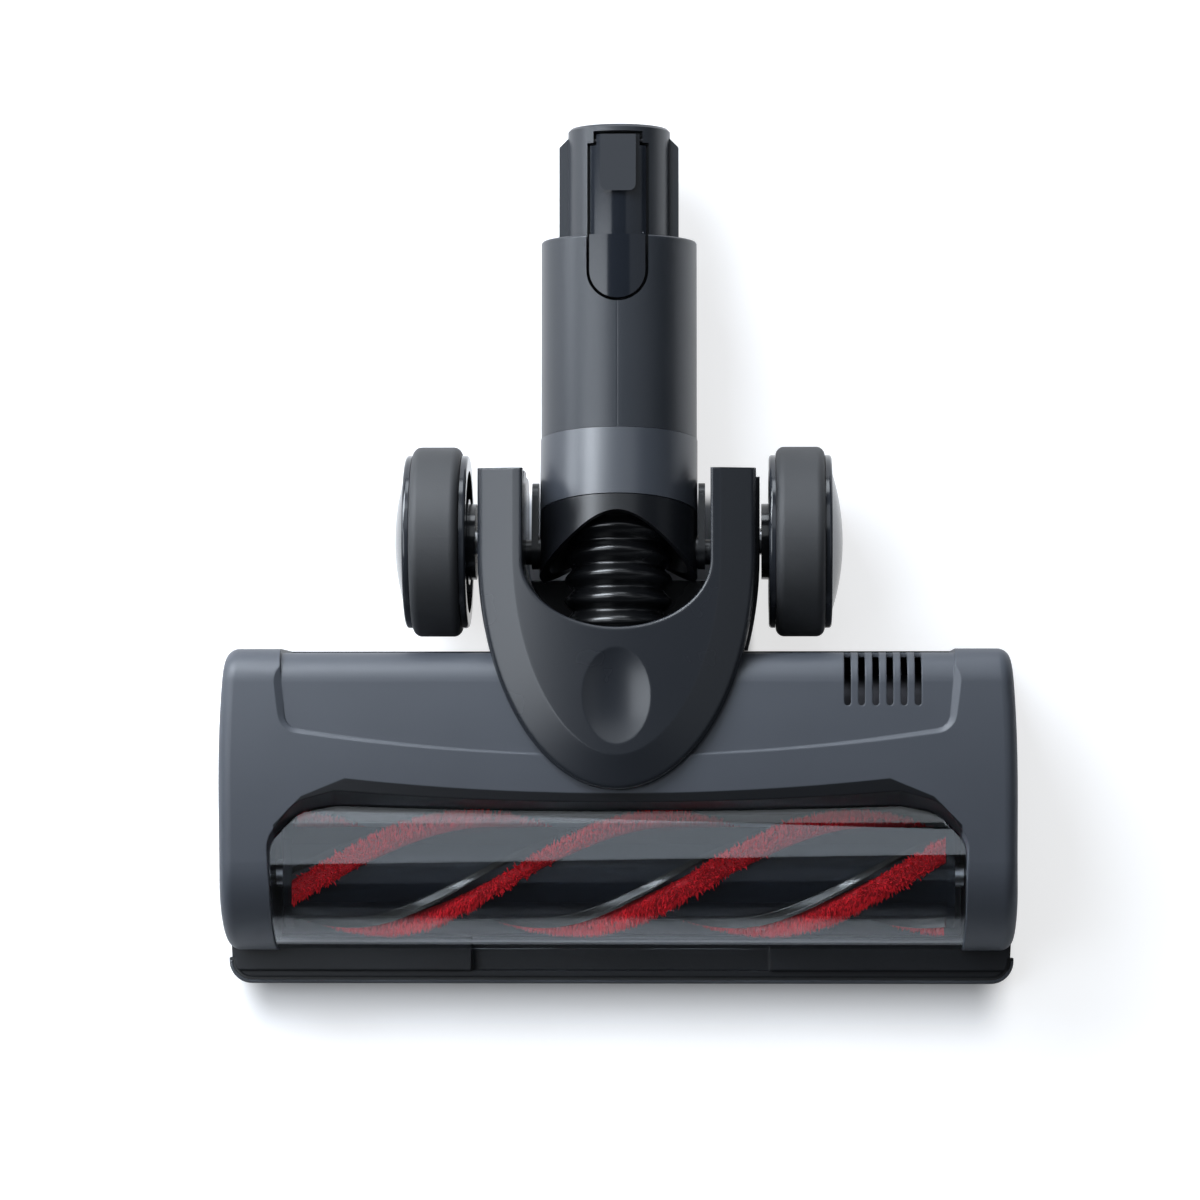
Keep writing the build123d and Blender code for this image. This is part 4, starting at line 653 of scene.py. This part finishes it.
low, high = (np.array(corner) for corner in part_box("latch_spring"))
wire = 0.5 * MM
coil_radius = 3.0 * MM
coil_turns = 3.5
middle_y = 86.0 * MM
share = np.linspace(0, 1, 150)
turn = coil_turns * 2 * np.pi * share
climb = low[2] + wire + share * (high[2] - low[2] - 2 * wire)
coil_x = coil_radius * np.cos(turn)
coil_y = middle_y + coil_radius * np.sin(turn)
coil_path = np.stack([coil_x, coil_y, climb], axis=-1)
coil = make_piece("latch_coil", *round_bar(coil_path, wire), steel, "neck", "steel")
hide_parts("latch_spring")
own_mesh(coil)

rim_radius = 0.5 * MM
rim_z = 9.9 * MM
front_y = -129.4 * MM
corner_radius = 6.4 * MM
corner = np.linspace(0, np.pi / 2, 24)
bend_x = 113.0 * MM + corner_radius * np.sin(corner)
bend_y = -123.0 * MM - corner_radius * np.cos(corner)
straight_x = np.linspace(-112.0, 112.0, 80) * MM
straight_y = np.full(len(straight_x), front_y)
rim_x = np.concatenate([-bend_x[::-1], straight_x, bend_x])
rim_y = np.concatenate([bend_y[::-1], straight_y, bend_y])
rim_path = np.stack([rim_x, rim_y, np.full(len(rim_x), rim_z)], axis=-1)
make_piece("bumper_rim", *round_bar(rim_path, rim_radius), rim_rubber, "housing", "bumper")

# %% [markdown]
# ## Screw heads
#
# The sole and the yoke are held by cross-head screws. A head is a low dome on a polar grid;
# its cross is a dent whose depth depends on how close a point is to either arm of the cross.


# %% Cross-head screws
head_radius = 2.9  # millimetres, as the shank's
shank_radius = 1.45
head_depth = 1.8 * MM


def screw(x, y, low_z, head_height, length, turn):
    """Dome with a cross recess facing down, then a plain shank that goes up into the boss."""
    spokes = 64
    shank = [head_radius, shank_radius, shank_radius]
    ring = np.concatenate([np.linspace(0, head_radius, 26), shank])[:, None] * MM
    spoke = (np.arange(spokes) * 2 * np.pi / spokes)[None, :]
    u, v = ring * np.cos(spoke), ring * np.sin(spoke)
    arm = np.minimum(np.abs(u), np.abs(v))
    reach = np.maximum(np.abs(u), np.abs(v))
    in_arm = np.clip((0.45 * MM - arm) / (0.2 * MM), 0, 1)
    in_reach = np.clip((1.75 * MM - reach) / (0.4 * MM), 0, 1)
    dent = 1.0 * MM * in_arm * in_reach
    rise = 0.5 * MM * (ring / (head_radius * MM)) ** 4 + dent
    rise[-3:] = np.array([head_height, head_height, length])[:, None]
    c, s = np.cos(turn), np.sin(turn)
    points = np.stack([x + c * u - s * v, y + s * u + c * v, low_z + rise], axis=-1)
    return points.reshape(-1, 3), grid_faces(len(ring), spokes, wrap_columns=True)[:, ::-1]


right_spots = ((110.6, -35.6), (110.6, -113.2), (30.0, -35.6))
sole_spots = [(side * x * MM, y * MM) for side in (-1, 1) for x, y in right_spots]
sole_low = 3.4 * MM
sole_length = 25.0 * MM
sole_set = [
    screw(x, y, sole_low, head_depth, sole_length, 11.0 * k)
    for k, (x, y) in enumerate(sole_spots)
]
points, faces = joined(sole_set)
sole_screws = make_piece("sole_screw_set", points, faces, steel, "housing", "steel")
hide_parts("housing_screws")
arm_spots = [(side * 35.0 * MM, y * MM) for side in (-1, 1) for y in (16.0, -14.0)]
arm_low = 16.0 * MM
arm_length = 32.9 * MM
arm_set = [
    screw(x, y, arm_low, head_depth, arm_length, 7.0 * k)
    for k, (x, y) in enumerate(arm_spots)
]
points, faces = joined(arm_set)
arm_screws = make_piece("yoke_screw_set", points, faces, steel, "housing", "steel")
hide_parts("yoke_screws")

# %% [markdown]
# ## Floor, light and camera
#
# The picture is a studio shot from nearly straight above on white. The key is a panel at the
# back left: it gives the sheen and the soft shadow to the front right. Weaker panels stand
# round the head, two on the left and two behind for the gloss on arms, tube and edges, and a
# faint one on the right. One more hangs over the window and lights only the clear sheet and
# the brush under it, so it draws the pale band there and nothing else.
#
# The floor's white comes from its own material: rays from the camera, from gloss and through
# clear pieces see a share of plain white on top of the lit paper, so shadows stay but turn
# light. That share is taken off rectangles under the head and the yoke and just in front of
# the bumper, which paints a deeper shadow there. For mirrored rays the white ends a little in
# front of the head, so the window's lower edge mirrors only what lies behind that line. From
# below the paper is clear, so that the sole can be looked at too.

# %% Floor
finish, start, place = new_finish("studio floor")
paper_grey = (0.46, 0.47, 0.49, 1.0)
white_share = 0.72
paper = start.add("ShaderNodeBsdfDiffuse", None, {"Color": paper_grey, "Roughness": 0.5})
rays = start.add("ShaderNodeLightPath")
kinds = ("Is Camera Ray", "Is Glossy Ray", "Is Transmission Ray")
eye, gloss, clear = (Tint(start.tree, rays.socket.node.outputs[kind]) for kind in kinds)
across, along, _ = axes(start, place)
side = start.maths("ABSOLUTE", across)


def floor_patch(half, front, back):
    """1 on a rectangle of the floor. Each edge fades between the two places given for it."""
    return (1 - side.band(*half)) * along.band(*front) * (1 - along.band(*back))


mirrored = (gloss + clear) * along.band(-0.15, -0.1) * (1 - 0.65 * across.band(0.0, 0.25))
# painted shadow: the white share is taken off under the head, in front of the bumper and under the yoke
painted_head_shadow = floor_patch(half=(0.108, 0.122), front=(-0.154, -0.122), back=(-0.036, -0.03))
painted_yoke_shadow = floor_patch(half=(0.036, 0.042), front=(-0.04, -0.03), back=(0.016, 0.022))
paper_outside_painted_shadow = 1 - start.maths("MAXIMUM", painted_head_shadow, painted_yoke_shadow)
strength = white_share * start.maths("MINIMUM", eye + mirrored, 1.0) * paper_outside_painted_shadow
white = start.add("ShaderNodeEmission", None, {"Strength": strength})
paper = start.add("ShaderNodeAddShader", None, {0: paper, 1: white})
below = start.add("ShaderNodeNewGeometry", out=6)
nothing = start.add("ShaderNodeBsdfTransparent")
close_finish(start, start.add("ShaderNodeMixShader", None, {0: below, 1: paper, 2: nothing}))
size = 6.0
corners = np.array([[-size, -size, 0], [size, -size, 0], [size, size, 0], [-size, size, 0]])
mesh = bpy.data.meshes.new("floor")
mesh.from_pydata(corners, [], [(0, 1, 2, 3)])
mesh.materials.append(finish)
floor = bpy.data.objects.new("floor", mesh)
bpy.context.scene.collection.objects.link(floor)
print("floor half size", size)


# %% Lamps and world
def panel(name, place, aim, width, depth, power, colour):
    """A soft light panel at a place, facing a point, hidden from the camera."""
    data = bpy.data.lights.new(name, "AREA")
    data.shape = "RECTANGLE"
    data.size, data.size_y = width, depth
    data.energy = power
    data.color = colour
    lamp = bpy.data.objects.new(name, data)
    lamp.location = place
    lamp.rotation_euler = (Vector(aim) - Vector(place)).to_track_quat("-Z", "Y").to_euler()
    lamp.visible_camera = False
    bpy.context.scene.collection.objects.link(lamp)
    return lamp


cool = (0.87, 0.93, 1.0)
aim = Vector((0.0, -0.03, 0.03))


def round_from(turn, rise, distance):
    """The point at a turn from +X, a rise above the floor and a distance from the aim."""
    turn, rise = np.radians(turn), np.radians(rise)
    level = np.array([np.cos(turn), np.sin(turn), 0.0]) * np.cos(rise)
    return aim + distance * Vector(level + [0.0, 0.0, np.sin(rise)])


# Turn and rise in degrees, distance, width and depth in metres, power in watts
panels = [
    ("key panel", 126, 33, 1.05, 0.7, 0.49, 18.6),
    ("left panel", 180, 54, 1.05, 0.525, 0.77, 5.6),
    ("low left panel", 158, 14, 1.5, 0.7, 0.5, 9.0),
    ("low back panel", 90, 14, 1.5, 0.6, 0.5, 5.5),
    ("back panel", 95, 58, 1.6, 1.7, 0.9, 6.0),
    ("right fill", 0, 55, 1.5, 1.0, 1.0, 1.2),
]
for name, turn, rise, distance, width, depth, power in panels:
    panel(name, round_from(turn, rise, distance), aim, width, depth, power, cool)
veil_place = (-0.485, -0.055, 1.58)
veil_aim = (-0.485, -0.055, 0.0)
veil_colour = (0.78, 0.88, 1.0)
veil_turn = np.radians(34.0)
veil = panel("window panel", veil_place, veil_aim, 1.4, 1.5, 12.0, veil_colour)
veil.rotation_euler = (0.0, 0.0, veil_turn)
lit = bpy.data.collections.new("seen by the window panel")
for piece in (nodes["clear_window"], tufts, blades):
    lit.objects.link(piece)
veil.light_linking.receiver_collection = lit
world = bpy.data.worlds.new("studio")
world.use_nodes = True
world.node_tree.nodes.clear()
sky = Tint(world.node_tree)
camera_ray = sky.add("ShaderNodeLightPath")
backdrop = sky.add("ShaderNodeBackground", None, {"Color": (1.0, 1.0, 1.0, 1.0), "Strength": 1.0})
glow = sky.add("ShaderNodeBackground", None, {"Color": (0.85, 0.92, 1.0, 1.0), "Strength": 0.04})
light = sky.add("ShaderNodeMixShader", None, {0: camera_ray, 1: glow, 2: backdrop})
sky.add("ShaderNodeOutputWorld", None, {"Surface": light})
bpy.context.scene.world = world
bpy.context.scene.view_settings.view_transform = "Standard"

# %% [markdown]
# ## The camera
#
# The camera hangs about 1.4 m above the floor, a little to the right and to the front, and
# looks almost straight down. A long lens keeps the sides nearly hidden, as in the picture.

# %% Camera
data = bpy.data.cameras.new("camera")
data.lens = 136.0
data.sensor_width = 36.0
camera = bpy.data.objects.new("camera", data)
camera.location = (0.035, -0.062, 1.40)
target = Vector((-0.0057, -0.0133, 0.03))
look = target - camera.location
camera.rotation_euler = (np.arctan2(look.y, -look.z), -np.arctan2(look.x, -look.z), 0.0)
bpy.context.scene.collection.objects.link(camera)
bpy.context.scene.camera = camera
print("camera at", tuple(camera.location))
